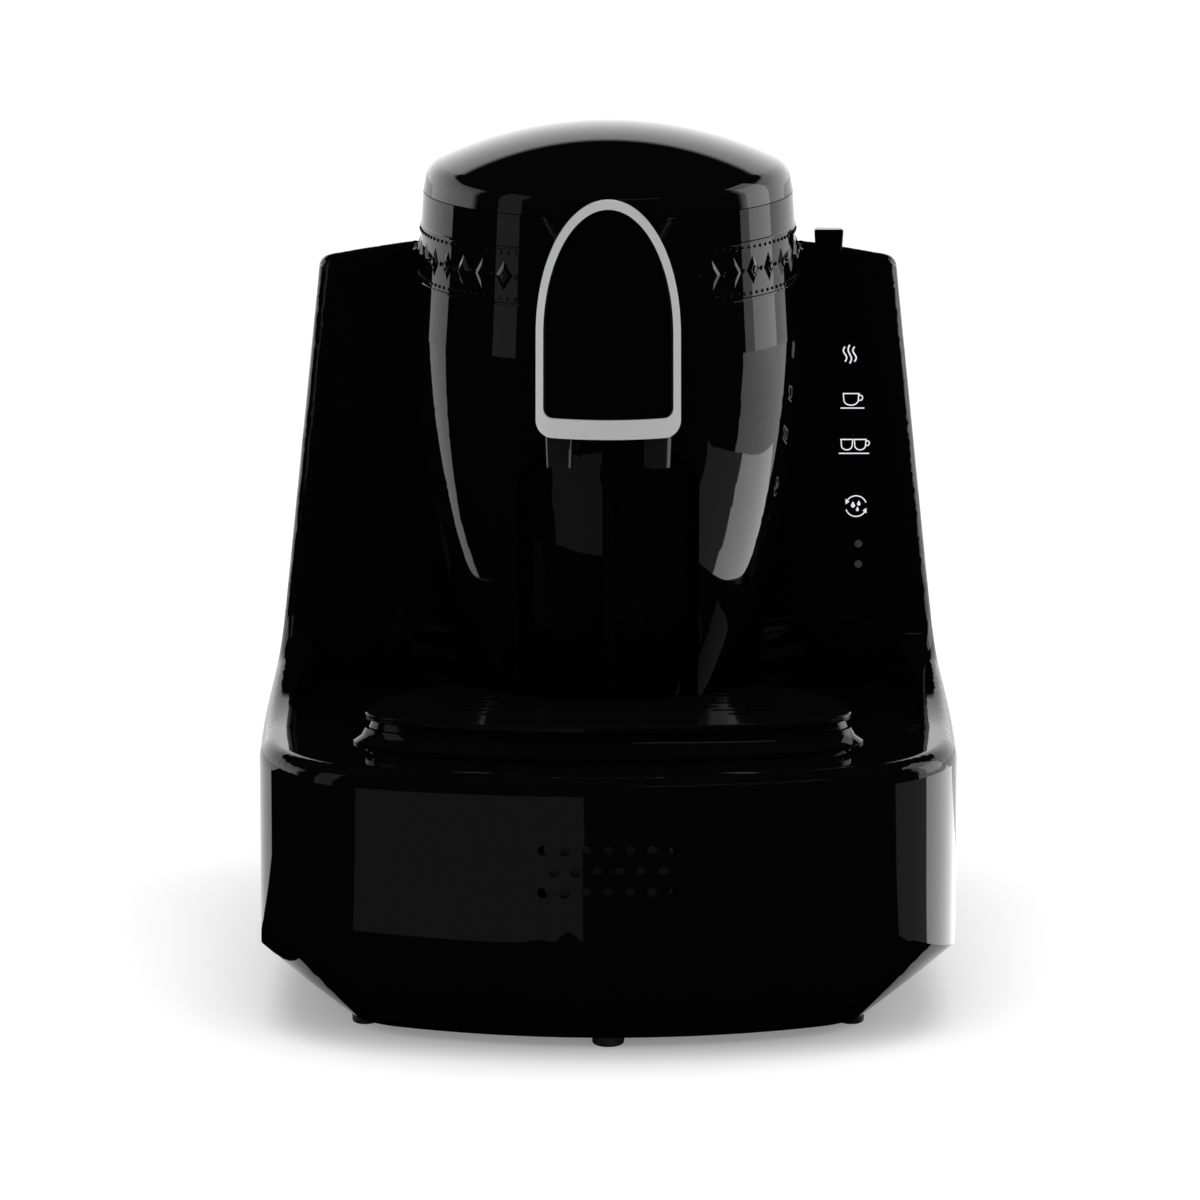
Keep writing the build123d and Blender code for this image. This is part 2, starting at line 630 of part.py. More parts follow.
def cover_tab(moulding):
    """Flared grip tab on the cover, its foot drawn down over the cover's front edge."""
    crown = CROWN_Z - TAB_X**2 / (2 * CROWN_R)
    low, high = crown - COVER_T + GAP, crown + TAB_H
    y = WING_Y - TAB_PROUD + TAB_T / 2
    foot_face = Pos(TAB_X, y, low) * RectangleRounded(TAB_W, TAB_T, 1.2)
    top_face = Pos(TAB_X, y, high) * RectangleRounded(TAB_W + TAB_FLARE, TAB_T + TAB_FLARE, 1.2)
    tab = loft([foot_face.face(), top_face.face()], ruled=True)
    tab = fillet(tab.edges().group_by(Axis.Z)[-1], 0.8)
    return tab - moulding


# ---- column, collar -----------------------------------------------------
def niches(depth, grow):
    """Two arched recesses under the nozzles, sunk by depth into the column."""
    half = NICHE_W / 2 + grow
    top = DECK_Z + NICHE_TOP + grow
    with BuildSketch(Plane.XZ) as arch:
        with Locations((NOZZLE_HALF_X, top - half)):
            Circle(half)
        with Locations((NOZZLE_HALF_X, (DECK_Z - 5 + top - half) / 2)):
            Rectangle(2 * half, top - half - DECK_Z + 5)
    tunnel = mirrored(extrude(arch.sketch, BIG / 4))
    return tunnel - stem(-depth)


def column_shell():
    inside = stem(-STEM_WALL, high=COLLAR_Z - STEM_WALL) - niches(NICHE_DEPTH + STEM_WALL, STEM_WALL)
    shell = stem(0, high=COLLAR_Z) - inside - niches(NICHE_DEPTH, 0)
    shell -= post(0, AXIS_Y, COLLAR_Z - 2 * STEM_WALL, COLLAR_Z + 1, JACKET_R + 11)
    shell -= post(0, AXIS_Y, DECK_Z - 1, DECK_Z + 1, CABLE_HOLE_R)
    return shell - rod_y(0, CHANNEL_Z, CHANNEL_Y, AXIS_Y, FEED_R + 0.4)


def collar():
    """Ring over the column, with the shelf that carries the pot and the ears of the lid."""
    ring = stem(0, low=COLLAR_Z) - stem(-STEM_WALL, low=COLLAR_Z)
    shelf = stem(0, low=SHELF_Z - SHELF_T, high=SHELF_Z)
    shelf -= post(0, AXIS_Y, COLLAR_Z, LID_Z, POT_R + POT_WALL + GAP)
    ring += shelf
    ear = rod_x(HINGE_Y, HINGE_Z, KNUCKLE_HALF + GAP, EAR_OUT, HINGE_R)
    ear += block(KNUCKLE_HALF + GAP, EAR_OUT, HINGE_Y - HINGE_R, HINGE_Y + HINGE_R,
                 HINGE_Z - 10, HINGE_Z)
    ear -= stem(-STEM_WALL / 2)
    ring += mirrored(ear)
    ring -= rod_x(HINGE_Y, HINGE_Z, -EAR_OUT - 1, EAR_OUT + 1, HINGE_PIN_R + FIT)
    return ring - post(0, AXIS_Y + INLET_REACH, SHELF_Z - 5, SHELF_Z + 1, BARB_R + 0.1)


# ---- spout head, frame, plaque, nozzles ---------------------------------
def arch_prism(side, top, bottom, corner_r):
    """Arched outline of the head, moved in by side, top and bottom, run out to the front."""
    half, rise = HEAD_HALF - side, HEAD_ARCH - top
    low = HEAD_Z + bottom
    plane = Plane.XZ.offset(50 - AXIS_Y)
    with BuildSketch(plane) as face:
        with Locations((0, SPRING_Z)):
            Ellipse(half, rise)
        with Locations((0, SPRING_Z - BIG / 2)):
            Rectangle(BIG, BIG, mode=Mode.SUBTRACT)
        with Locations((0, (low + SPRING_Z) / 2)):
            Rectangle(2 * half, SPRING_Z - low)
        fillet(face.vertices().sort_by(Axis.Y)[:2], corner_r)
    return extrude(face.sketch, 80)


def nose(sink):
    """Bowed front surface of the head, leaning out to the bottom, sunk in by sink."""
    axis_y = AXIS_Y - HEAD_REACH + NOSE_R / cos(radians(HEAD_TILT))
    lean = Pos(0, axis_y, HEAD_Z) * Rot(-HEAD_TILT, 0, 0)
    return lean * Cylinder(NOSE_R - sink, BIG)


def head_room():
    """What the head keeps clear of: column and collar, and the lid that swings past it."""
    lid_room = post(0, AXIS_Y, LID_Z - 0.2, TOP_Z + 10, LIP_R + 3 * GAP)
    return stem(FIT) + lid_room


def spout_head():
    head = arch_prism(0.4, 0.4, 0, HEAD_CORNER_R - 0.4) & nose(FRAME_T + FIT)
    head -= head_room()
    room = 21.3
    head -= block(-room, room, CHANNEL_Y - CHANNEL_R - GAP, AXIS_Y, HEAD_Z + HEAD_WALL,
                  CHANNEL_Z + CHANNEL_R + GAP)
    hole = post(NOZZLE_HALF_X, AXIS_Y - NOZZLE_REACH, HEAD_Z - 1, CHANNEL_Z - 1, NOZZLE_R + 0.1)
    return head - mirrored(hole)


def window_prism(gap):
    """Window of the frame, moved in by gap."""
    return arch_prism(FRAME_SIDE + gap, FRAME_TOP + gap, FRAME_BOTTOM + gap, FRAME_WINDOW_R - gap)


def plaque_frame():
    frame = arch_prism(0, 0, 0, HEAD_CORNER_R) & nose(0)
    frame -= nose(FRAME_T)
    return frame - window_prism(0)


def plaque_insert():
    return (window_prism(0.1) & nose(PLAQUE_RECESS)) - nose(FRAME_T)


def nozzle(side):
    """One coffee nozzle, held in the floor of the head."""
    y = AXIS_Y - NOZZLE_REACH
    tip, top = HEAD_Z - NOZZLE_DROP, HEAD_Z + HEAD_WALL + 0.3
    body = [(NOZZLE_BORE_R, tip), (NOZZLE_TIP_R, tip), (NOZZLE_R, HEAD_Z - 2),
            (NOZZLE_R, top), (NOZZLE_BORE_R, top)]
    return turned(body, side * NOZZLE_HALF_X, y)


def pour_channel():
    """Tube from the valve to a cross tube that feeds both nozzles."""
    end_x = NOZZLE_HALF_X + CHANNEL_R
    outer = rod_x(CHANNEL_Y, CHANNEL_Z, -end_x, end_x, CHANNEL_R)
    outer += rod_y(0, CHANNEL_Z, CHANNEL_Y, VALVE_Y - VALVE_R - FIT, FEED_R)
    low = HEAD_Z + HEAD_WALL + 0.5
    stub = post(NOZZLE_HALF_X, AXIS_Y - NOZZLE_REACH, low, CHANNEL_Z, CHANNEL_DROP_R + 0.8)
    drop = post(NOZZLE_HALF_X, AXIS_Y - NOZZLE_REACH, low - 1, CHANNEL_Z, CHANNEL_DROP_R)
    end_x -= CHANNEL_R - CHANNEL_BORE_R
    inner = rod_x(CHANNEL_Y, CHANNEL_Z, -end_x, end_x, CHANNEL_BORE_R)
    inner += rod_y(0, CHANNEL_Z, CHANNEL_Y, VALVE_Y, FEED_BORE_R)
    return outer + mirrored(stub) - inner - mirrored(drop)


# ---- brewing pot, heater, valve -----------------------------------------
def brew_pot():
    """Drawn steel pot hung by its flange on the collar's shelf."""
    rim = FLANGE_Z + POT_FLANGE_T
    outer = [(0, POT_Z), (POT_FOOT_R + POT_WALL, POT_Z), (POT_R + POT_WALL, FLANGE_Z),
             (POT_FLANGE_R, FLANGE_Z), (POT_FLANGE_R, rim), (0, rim)]
    inner = [(0, POT_Z + POT_WALL), (POT_FOOT_R, POT_Z + POT_WALL), (POT_R, rim + 1), (0, rim + 1)]
    body, hollow = turned(outer), turned(inner)
    body = fillet(body.edges().group_by(Axis.Z)[0], POT_EDGE_R)
    hollow = fillet(hollow.edges().group_by(Axis.Z)[0], POT_EDGE_R - POT_WALL)
    return body - hollow - post(0, VALVE_Y, POT_Z - 1, POT_Z + 5, VALVE_HOLE_R)


def pot_seal():
    r = POT_FLANGE_R - 1
    return turned([(r - 4, SHELF_Z), (r, SHELF_Z), (r, FLANGE_Z), (r - 4, FLANGE_Z)])


def heater_plate():
    plate = post(0, AXIS_Y, HEATER_Z, POT_Z, HEATER_R)
    plate = chamfer(plate.edges().group_by(Axis.Z)[0], 1.0)
    return plate - post(0, VALVE_Y, HEATER_Z - 1, POT_Z + 1, VALVE_HOLE_R)


def heating_element():
    """Tubular element bent to an open ring under the plate, gap and terminals to the front."""
    start = 270 + (360 - ELEMENT_ARC) / 2
    z = HEATER_Z - ELEMENT_ROD_R - 0.1
    ring = Pos(0, AXIS_Y, z) * CenterArc((0, 0), ELEMENT_R, start, ELEMENT_ARC)
    section = Plane(origin=ring @ 0, z_dir=ring % 0) * Circle(ELEMENT_ROD_R)
    body = sweep(section, path=ring)
    for share in (0, 1):
        end = ring @ share
        body += post(end.X, end.Y, z - TERMINAL_L, z, 1.6)
    return body


def pot_jacket():
    """Heat shield round the pot, hung under the collar's shelf; it carries plate and valve."""
    top, inner = SHELF_Z - SHELF_T, JACKET_R - JACKET_WALL
    wall = turned([(0, JACKET_Z), (JACKET_R, JACKET_Z), (JACKET_R, top), (inner, top),
                   (inner, JACKET_Z + JACKET_WALL), (0, JACKET_Z + JACKET_WALL)])
    wall -= post(0, VALVE_Y, JACKET_Z - 1, JACKET_Z + JACKET_WALL + 1, STEM_ROD_R + 1)
    for side in (-1, 1):
        wall += post(side * 30, AXIS_Y, JACKET_Z, HEATER_Z, 2.5)
        wall += post(side * 12, AXIS_Y + 28, JACKET_Z, HEATER_Z, 2.5)
    return wall - rod_y(0, CHANNEL_Z, CHANNEL_Y, VALVE_Y, FEED_R + 0.4)


def thermostat():
    y = AXIS_Y + 2
    disc = post(0, y, HEATER_Z - 7, HEATER_Z, 8)
    return disc + block(-2, 2, y - 10, y + 10, HEATER_Z - 6.5, HEATER_Z - 5.5)


def thermal_fuse():
    return rod_x(AXIS_Y + 15, HEATER_Z - 2.1, -9, 9, 2.0)


PLUG_TOP = HEATER_Z - GAP


def valve_body():
    """Chamber under the heater plate, open to the pot's drain, with a side outlet."""
    floor = JACKET_Z + JACKET_WALL
    body = post(0, VALVE_Y, floor, HEATER_Z, VALVE_R)
    body -= post(0, VALVE_Y, floor + 2, HEATER_Z + 1, VALVE_BORE_R)
    body -= post(0, VALVE_Y, floor - 1, floor + 3, STEM_ROD_R + RUN)
    return body - rod_y(0, CHANNEL_Z, VALVE_Y - VALVE_R - 1, VALVE_Y, FEED_BORE_R)


def valve_plunger():
    """Rubber-faced plug on an iron rod that the coil pulls down."""
    plug = post(0, VALVE_Y, PLUG_TOP - PLUG_T, PLUG_TOP, PLUG_R)
    return plug + post(0, VALVE_Y, JACKET_Z - COIL_H + 2, PLUG_TOP - PLUG_T, STEM_ROD_R)


def valve_spring():
    """Coil spring between the chamber's floor and the plug."""
    low = JACKET_Z + JACKET_WALL + 2 + SPRING_WIRE_R + 0.1
    high = PLUG_TOP - PLUG_T - SPRING_WIRE_R - 0.1
    pitch = (high - low) / SPRING_TURNS
    path = Pos(0, VALVE_Y, low) * Helix(pitch, high - low, SPRING_R)
    section = Plane(origin=path @ 0, z_dir=path % 0) * Circle(SPRING_WIRE_R)
    return sweep(section, path=path)


def solenoid_coil():
    coil = post(0, VALVE_Y, JACKET_Z - COIL_H, JACKET_Z, COIL_R)
    coil -= post(0, VALVE_Y, JACKET_Z - COIL_H + 2, JACKET_Z - 2, COIL_R + 1) - post(
        0, VALVE_Y, JACKET_Z - COIL_H, JACKET_Z, COIL_R - 2)
    coil -= post(0, VALVE_Y, JACKET_Z - COIL_H - 1, JACKET_Z + 1, STEM_ROD_R + RUN)
    return coil


def foam_sensor():
    """Small housing on the shelf that looks down into the pot."""
    inner = POT_FLANGE_R + 0.5
    body = block(inner, inner + 7, -5, 5, SHELF_Z, SHELF_Z + 6.5)
    body = fillet(body.edges().filter_by(Axis.Z), 1.0)
    return Pos(0, AXIS_Y, 0) * Rot(0, 0, 30) * body


def water_inlet():
    """Swan neck through the shelf, over the pot's edge."""
    y, z = AXIS_Y + INLET_REACH, SHELF_Z + INLET_TOP
    points = [(0, y, SHELF_Z - 13), (0, y, z), (0, AXIS_Y + POT_R - 5, z)]
    return hose(points, 4.0, BARB_R, BARB_BORE_R)


# ---- lid ----------------------------------------------------------------
def dome(grow, base):
    """Domed form of the lid, its surface moved out by grow, its underside at base."""
    bottom_r, top = LIP_R + grow, TOP_Z + grow
    lean = (LIP_R - SHOULDER_R) / COLLAR_H
    edge_r = bottom_r + lean * LID_H
    r = DOME_R + grow
    edge_z = top - r + sqrt(r**2 - edge_r**2)
    mid_r = edge_r / 2
    mid_z = top - r + sqrt(r**2 - mid_r**2)
    with BuildSketch(Plane.XZ) as side:
        with BuildLine():
            Polyline((0, top), (0, base), (bottom_r, base), (edge_r, edge_z))
            ThreePointArc((edge_r, edge_z), (mid_r, mid_z), (0, top))
        make_face()
        corner = side.vertices().sort_by_distance((edge_r, edge_z))[0]
        fillet(corner, DOME_EDGE_R + grow)
    return Pos(0, AXIS_Y, 0) * revolve(side.sketch, Axis.Z)


def lid_dome():
    """Outer moulding of the lid, with the hinge knuckle and room for the collar's ears."""
    shell = dome(0, LID_Z + GAP) - dome(-LID_WALL, LID_Z - 1)
    ear_room = block(-EAR_OUT - 0.5, EAR_OUT + 0.5, HINGE_Y - HINGE_R - 2, HINGE_Y + 10,
                     LID_Z - 1, HINGE_Z + HINGE_R + 1)
    shell -= ear_room
    knuckle = rod_x(HINGE_Y, HINGE_Z, -KNUCKLE_HALF, KNUCKLE_HALF, HINGE_R)
    knuckle += block(-KNUCKLE_HALF, KNUCKLE_HALF, HINGE_Y - 8, HINGE_Y, HINGE_Z - 1.5,
                     HINGE_Z + HINGE_R)
    knuckle += block(-KNUCKLE_HALF, KNUCKLE_HALF, HINGE_Y - 8, HINGE_Y - HINGE_R - 1.5,
                     HINGE_Z - 1.5, HINGE_Z + HINGE_R + 3) & dome(-LID_WALL / 2, LID_Z)
    shell += knuckle
    return shell - rod_x(HINGE_Y, HINGE_Z, -KNUCKLE_HALF - 1, KNUCKLE_HALF + 1, HINGE_PIN_R + RUN)


def lid_hinge_pin():
    return rod_x(HINGE_Y, HINGE_Z, -EAR_OUT, EAR_OUT, HINGE_PIN_R)


def lid_liner():
    """Inner plate of the lid with a skirt that carries the gasket."""
    low = LID_Z + LINER_RISE
    inner = LINER_R - SKIRT_T
    plate = turned([(0, low), (inner, low), (inner, low - SKIRT_H), (LINER_R, low - SKIRT_H),
                    (LINER_R, low + LINER_T), (0, low + LINER_T)])
    return plate & dome(-LID_WALL - FIT, LID_Z - 5)


def lid_gasket():
    low, high = SHELF_Z + GAP, LID_Z + LINER_RISE - SKIRT_H
    outer, inner = LINER_R - 0.2, LINER_R - SKIRT_T + 0.2
    return turned([(inner, low), (outer, low), (outer, high), (inner, high)])


# ---- tank and dock ------------------------------------------------------
def water_tank():
    """Tank whose plan follows the housing, open on top, with a neck under its floor."""
    front_cut = block(-BIG, BIG, -BIG, BAY_Y + TANK_BACK_GAP, TANK_Z - 20, TANK_TOP + 20)
    body = extrude(bay_plan(TANK_Z, BAY_WALL + TANK_GAP), TANK_H) - front_cut
    body = fillet(body.edges().filter_by(Axis.Z).sort_by(Axis.Y)[:2], 8.0)
    front_wall = block(-BIG, BIG, -BIG, BAY_Y + TANK_BACK_GAP + TANK_WALL, TANK_Z, TANK_TOP + 20)
    hollow = extrude(bay_plan(TANK_Z + TANK_FLOOR, BAY_WALL + TANK_GAP + TANK_WALL), TANK_H)
    hollow -= front_wall
    hollow = fillet(hollow.edges().filter_by(Axis.Z).sort_by(Axis.Y)[:2], 8.0 - TANK_WALL)
    body -= hollow
    body += post(0, NECK_Y, TANK_Z - NECK_H, TANK_Z + 1, NECK_R)
    body -= post(0, NECK_Y, TANK_Z - NECK_H - 1, TANK_Z + TANK_FLOOR + 1, NECK_BORE_R)
    ear = rod_x(COVER_HINGE_Y, COVER_HINGE_Z, COVER_EAR_X, COVER_EAR_X + COVER_EAR_W,
                COVER_HINGE_R)
    ear += block(COVER_EAR_X, COVER_EAR_X + COVER_EAR_W, COVER_HINGE_Y - 8, COVER_HINGE_Y,
                 COVER_HINGE_Z - COVER_HINGE_R, COVER_HINGE_Z + COVER_HINGE_R)
    ear -= hollow
    body += mirrored(ear)
    return body - rod_x(COVER_HINGE_Y, COVER_HINGE_Z, -BIG / 4, BIG / 4, COVER_PIN_R + FIT)


def tank_hinge_pins():
    pin = rod_x(COVER_HINGE_Y, COVER_HINGE_Z, COVER_EAR_X,
                COVER_EAR_X + 2 * COVER_EAR_W + GAP, COVER_PIN_R)
    return Compound(children=[pin, mirror(pin, Plane.YZ)])


def tank_valve():
    """Silicone valve with a split foot, pushed into the neck from inside."""
    floor = TANK_Z + TANK_FLOOR
    disc = post(0, NECK_Y, floor, floor + 1.5, NECK_BORE_R + 2)
    plug = post(0, NECK_Y, TANK_Z - NECK_H + 1, floor, NECK_BORE_R - FIT)
    slit = block(-3, 3, NECK_Y - 0.3, NECK_Y + 0.3, TANK_Z - NECK_H, floor + 2)
    return disc + plug - slit


def tank_dock():
    """Socket under the tank's neck, with a barb for the suction hose."""
    cup_r = NECK_R + 1
    floor = TANK_Z - NECK_H - 3
    body = turned([(BARB_BORE_R, floor - 2 - BARB_H), (BARB_R, floor - 2 - BARB_H),
                   (BARB_R, floor - 2), (cup_r + 2, floor - 2), (cup_r + 2, SEAM_Z - DOCK_FLANGE_T),
                   (DOCK_FLANGE_R, SEAM_Z - DOCK_FLANGE_T), (DOCK_FLANGE_R, SEAM_Z),
                   (cup_r, SEAM_Z), (cup_r, floor), (BARB_BORE_R, floor)], 0, NECK_Y)
    return body


def tank_dock_seal():
    return turned([(NECK_R + GAP, SEAM_Z), (DOCK_R - FIT, SEAM_Z), (DOCK_R - FIT, SEAM_Z + 3),
                   (NECK_R + GAP, SEAM_Z + 3)], 0, NECK_Y)


# ---- drip tray and cup stand --------------------------------------------
def tray_plan(z, inset):
    """Crescent plan: two half ellipses, hollowed round the column."""
    half = TRAY_HALF - inset
    y = TRAY_Y
    front = Ellipse(half, TRAY_FRONT - inset) & (Pos(0, -BIG / 2) * Rectangle(BIG, BIG))
    rear = Ellipse(half, TRAY_REAR - inset) & (Pos(0, BIG / 2) * Rectangle(BIG, BIG))
    face = Pos(0, y) * (front + rear)
    face -= Pos(0, AXIS_Y) * Circle(TRAY_COLUMN_R + inset)
    corners = [v for v in face.vertices() if v.Y > y + 5]
    face = fillet(corners, TRAY_CORNER_R)
    return Pos(0, 0, z) * face


def tray_loft(z0, inset0, z1, inset1):
    return loft([tray_plan(z0, inset0).face(), tray_plan(z1, inset1).face()], ruled=True)


def drip_tray():
    """Low bowl with a flared foot."""
    z1, z2 = TRAY_Z + 1.5, TRAY_Z + TRAY_H
    low = extrude(tray_plan(TRAY_Z, -TRAY_OUT), 1.5)
    mid = tray_loft(z1, -TRAY_OUT, z1 + 2, -TRAY_OUT / 3)
    high = tray_loft(z1 + 2, -TRAY_OUT / 3, z2, 0)
    bowl = extrude(tray_plan(TRAY_Z + TRAY_FLOOR, TRAY_WALL), TRAY_H)
    return low + mid + high - bowl


def drain_slots(x, y):
    """Staggered slots under one cup."""
    slots = []
    rows = int(SLOT_FIELD_R // SLOT_PITCH)
    for row in range(-rows, rows + 1):
        shift = 0.0 if row % 2 else 0.5
        for n in (-2, -1, 0, 1):
            at_x = (n + 0.5 + shift - 0.25) * (SLOT_L + 3.0)
            if hypot(abs(at_x) + SLOT_L / 2, row * SLOT_PITCH) < SLOT_FIELD_R + 3:
                slot = Box(SLOT_L, SLOT_W, 20)
                slots.append(Pos(x + at_x, y + row * SLOT_PITCH, STAND_TOP) * slot)
    return slots


def cup_stand():
    """Perforated plate with a flared edge, set on the drip tray."""
    neck_z = STAND_TOP - STAND_T
    plate = extrude(tray_plan(neck_z, 0), STAND_T)
    plate = fillet(plate.edges().group_by(Axis.Z)[-1], 0.7)
    skirt = tray_loft(STAND_Z, STAND_IN - 1.4, neck_z, STAND_IN)
    skirt -= extrude(tray_plan(STAND_Z - 1, STAND_IN + TRAY_WALL), STAND_H)
    skirt &= block(-BIG, BIG, -BIG, BIG, STAND_Z, neck_z)
    return plate + skirt - drain_slots(CUP_X, CUP_Y) - drain_slots(-CUP_X, CUP_Y)


# ---- switch, gland, electrics -------------------------------------------
BEZEL_Y = BACK_Y - 0.5                    # outer face of the switch, just inside the wall
ROCKER_Y = BEZEL_Y - ROCKER_SINK


def bezel_block(grow, y0):
    half_w, half_h = SWITCH_W / 2 + BEZEL_OUT + grow, SWITCH_H / 2 + BEZEL_OUT + grow
    return block(-half_w, half_w, y0, BEZEL_Y + grow * 20, SWITCH_Z - half_h, SWITCH_Z + half_h)


def switch_housing():
    """Body of the power switch, with its bezel flush in the back wall."""
    half_w, half_h = SWITCH_W / 2, SWITCH_H / 2
    body = block(-half_w, half_w, BEZEL_Y - SWITCH_DEPTH, BEZEL_Y - 0.5, SWITCH_Z - half_h,
                 SWITCH_Z + half_h)
    bezel = bezel_block(0, BEZEL_Y - BEZEL_T)
    bezel = fillet(bezel.edges().filter_by(Axis.Y), 1.5)
    pocket_w, pocket_h = ROCKER_W / 2 + GAP, ROCKER_H / 2 + 1.0
    pocket = block(-pocket_w, pocket_w, BEZEL_Y - SWITCH_DEPTH + 2, BEZEL_Y + 1,
                   SWITCH_Z - pocket_h, SWITCH_Z + pocket_h)
    pivot = rod_x(ROCKER_Y, SWITCH_Z, -pocket_w - 1.2, pocket_w + 1.2, ROCKER_PIN_R + RUN)
    return body + bezel - pocket - pivot


def power_rocker():
    """Rocker with a shallow V face and two pivot stubs, tilted to off."""
    half_h, edge, dip = ROCKER_H / 2, 5.4, 4.3
    outline_points = [(dip, 0), (edge, half_h), (0.5, half_h), (-3.5, half_h / 2),
                      (-3.5, -half_h / 2), (0.5, -half_h), (edge, -half_h)]
    profile = make_face(Plane.YZ * Polyline(*outline_points, close=True))
    body = extrude(profile, ROCKER_W / 2, both=True)
    stub = ROCKER_W / 2 + GAP + 0.9
    body += rod_x(0, 0, -stub, stub, ROCKER_PIN_R)
    return Pos(0, ROCKER_Y, SWITCH_Z) * Rot(-ROCKER_SWING / 2, 0, 0) * body


def cord_gland():
    """Bush for the mains lead, clipped into the back wall from inside."""
    end = BACK_Y - 0.3
    wall = BACK_Y - BASE_WALL - 0.1
    bush = rod_y(0, GLAND_Z, end - GLAND_L, end, GLAND_R)
    bush += rod_y(0, GLAND_Z, wall - 2.5, wall, GLAND_FLANGE_R)
    return bush - rod_y(0, GLAND_Z, end - GLAND_L - 1, end + 1, GLAND_BORE_R)


def speaker():
    front = FRONT_Y + BASE_WALL + 1.5
    body = rod_y(0, GRILLE_Z, front, front + SPEAKER_T, SPEAKER_R)
    body -= rod_y(0, GRILLE_Z, front - 1, front + 1, SPEAKER_R - 3)
    return body + rod_y(0, GRILLE_Z, front + SPEAKER_T, front + 2 * SPEAKER_T, SPEAKER_R / 2)


def power_board():
    return block(*BOARD_X, *BOARD_Y, BOARD_Z, BOARD_Z + BOARD_T)


def board_components():
    """Transformer, capacitors, relay and triac on the power board."""
    top = BOARD_Z + BOARD_T
    x, y = BOARD_X[0], BOARD_Y[0]
    pieces = [block(x + 8, x + 36, y + 14, y + 42, top, top + 24),
              block(x + 42, x + 54, y + 12, y + 30, top, top + 16),
              block(x + 44, x + 52, y + 60, y + 63, top, top + 18),
              post(x + 14, y + 58, top, top + 26, 8), post(x + 32, y + 60, top, top + 20, 6)]
    return Compound(children=pieces)


def control_board():
    """Board on the back of the hollow, left of the column."""
    back = BAY_Y - HOUSING_WALL - 0.2
    x, low, chip_face = 34.5 - WIDTH / 2, DECK_Z + 34, back - BOARD_T
    board = block(x, x + 46, chip_face, back, low, low + 78)
    for n in range(4):
        z = low + 6 + 18 * n
        board += block(x + 8, x + 18, chip_face - 2, chip_face, z, z + 10)
        board += block(x + 26, x + 38, chip_face - 3, chip_face, z, z + 6)
    return board


def touch_board():
    """Board with the touch areas and the lamps, behind the housing's right face."""
    front = WING_Y + HOUSING_WALL + 0.2
    board = block(SHOULDER_R + TOUCH_CLEAR, LENS_X + 9, front, front + BOARD_T,
                  DECK_Z + 36, DECK_Z + 130)
    for rise in LENS_RISE:
        board -= rod_y(LENS_X, DECK_Z + rise, front - 1, front + BOARD_T + 1, 0.5)
    return board


def indicator_lenses():
    lenses = [rod_y(LENS_X, DECK_Z + rise, WING_Y + 0.05, WING_Y + HOUSING_WALL, LENS_R)
              for rise in LENS_RISE]
    return Compound(children=lenses)


# ---- pump and hoses -----------------------------------------------------
def water_pump():
    """Vibration pump that lies front to back, spigots at both ends."""
    half = PUMP_W / 2
    y0, y1 = PUMP_Y - PUMP_L / 2, PUMP_Y + PUMP_L / 2
    core = block(PUMP_X - half, PUMP_X + half, y0, y1, PUMP_Z - half, PUMP_Z + half)
    core = fillet(core.edges().filter_by(Axis.Y), 4)
    core += rod_y(PUMP_X, PUMP_Z, y0 - PUMP_NOSE_L, y1 + PUMP_NOSE_L, PUMP_NOSE_R)
    ends = PUMP_NOSE_L + SPIGOT_L
    core += rod_y(PUMP_X, PUMP_Z, y0 - ends, y1 + ends, BARB_R)
    return core - rod_y(PUMP_X, PUMP_Z, y0 - ends - 1, y1 + ends + 1, BARB_BORE_R)


def pump_mounts():
    """Two waisted rubber mounts between the pump and the pan."""
    top = PUMP_Z - PUMP_W / 2
    waist = (INNER_FLOOR + top) / 2
    mounts = []
    for y in (PUMP_Y - PUMP_L / 4, PUMP_Y + PUMP_L / 4):
        mounts.append(turned([(0, INNER_FLOOR), (MOUNT_R, INNER_FLOOR), (MOUNT_R, INNER_FLOOR + 4),
                              (MOUNT_R - 2, waist), (MOUNT_R, top - 4), (MOUNT_R, top), (0, top)],
                             PUMP_X, y))
    return Compound(children=mounts)


def hose_suction():
    """From the dock's barb down and round to the back of the pump."""
    barb_low = TANK_Z - NECK_H - 5 - BARB_H
    back = PUMP_Y + PUMP_L / 2 + PUMP_NOSE_L
    points = [(0, NECK_Y, barb_low + SPIGOT_L), (0, NECK_Y, PUMP_Z + 6),
              (PUMP_X / 2, NECK_Y - 1, PUMP_Z), (PUMP_X, NECK_Y - 2, PUMP_Z), (PUMP_X, back, PUMP_Z)]
    return hose(points, 9.0, HOSE_R, HOSE_BORE_R)


def hose_delivery():
    """From the front of the pump up inside the column to the water inlet."""
    front = PUMP_Y - PUMP_L / 2 - PUMP_NOSE_L
    top = AXIS_Y + INLET_REACH
    points = [(PUMP_X, front, PUMP_Z), (PUMP_X, front - 24, PUMP_Z),
              (40, AXIS_Y - 16.2, PUMP_Z + 33), (17, AXIS_Y + 3.8, DECK_Z + 9),
              (8, AXIS_Y + 27.8, DECK_Z + 51), (0, top, DECK_Z + 101), (0, top, SHELF_Z - 5)]
    return hose(points, 11.0, HOSE_R, HOSE_BORE_R)


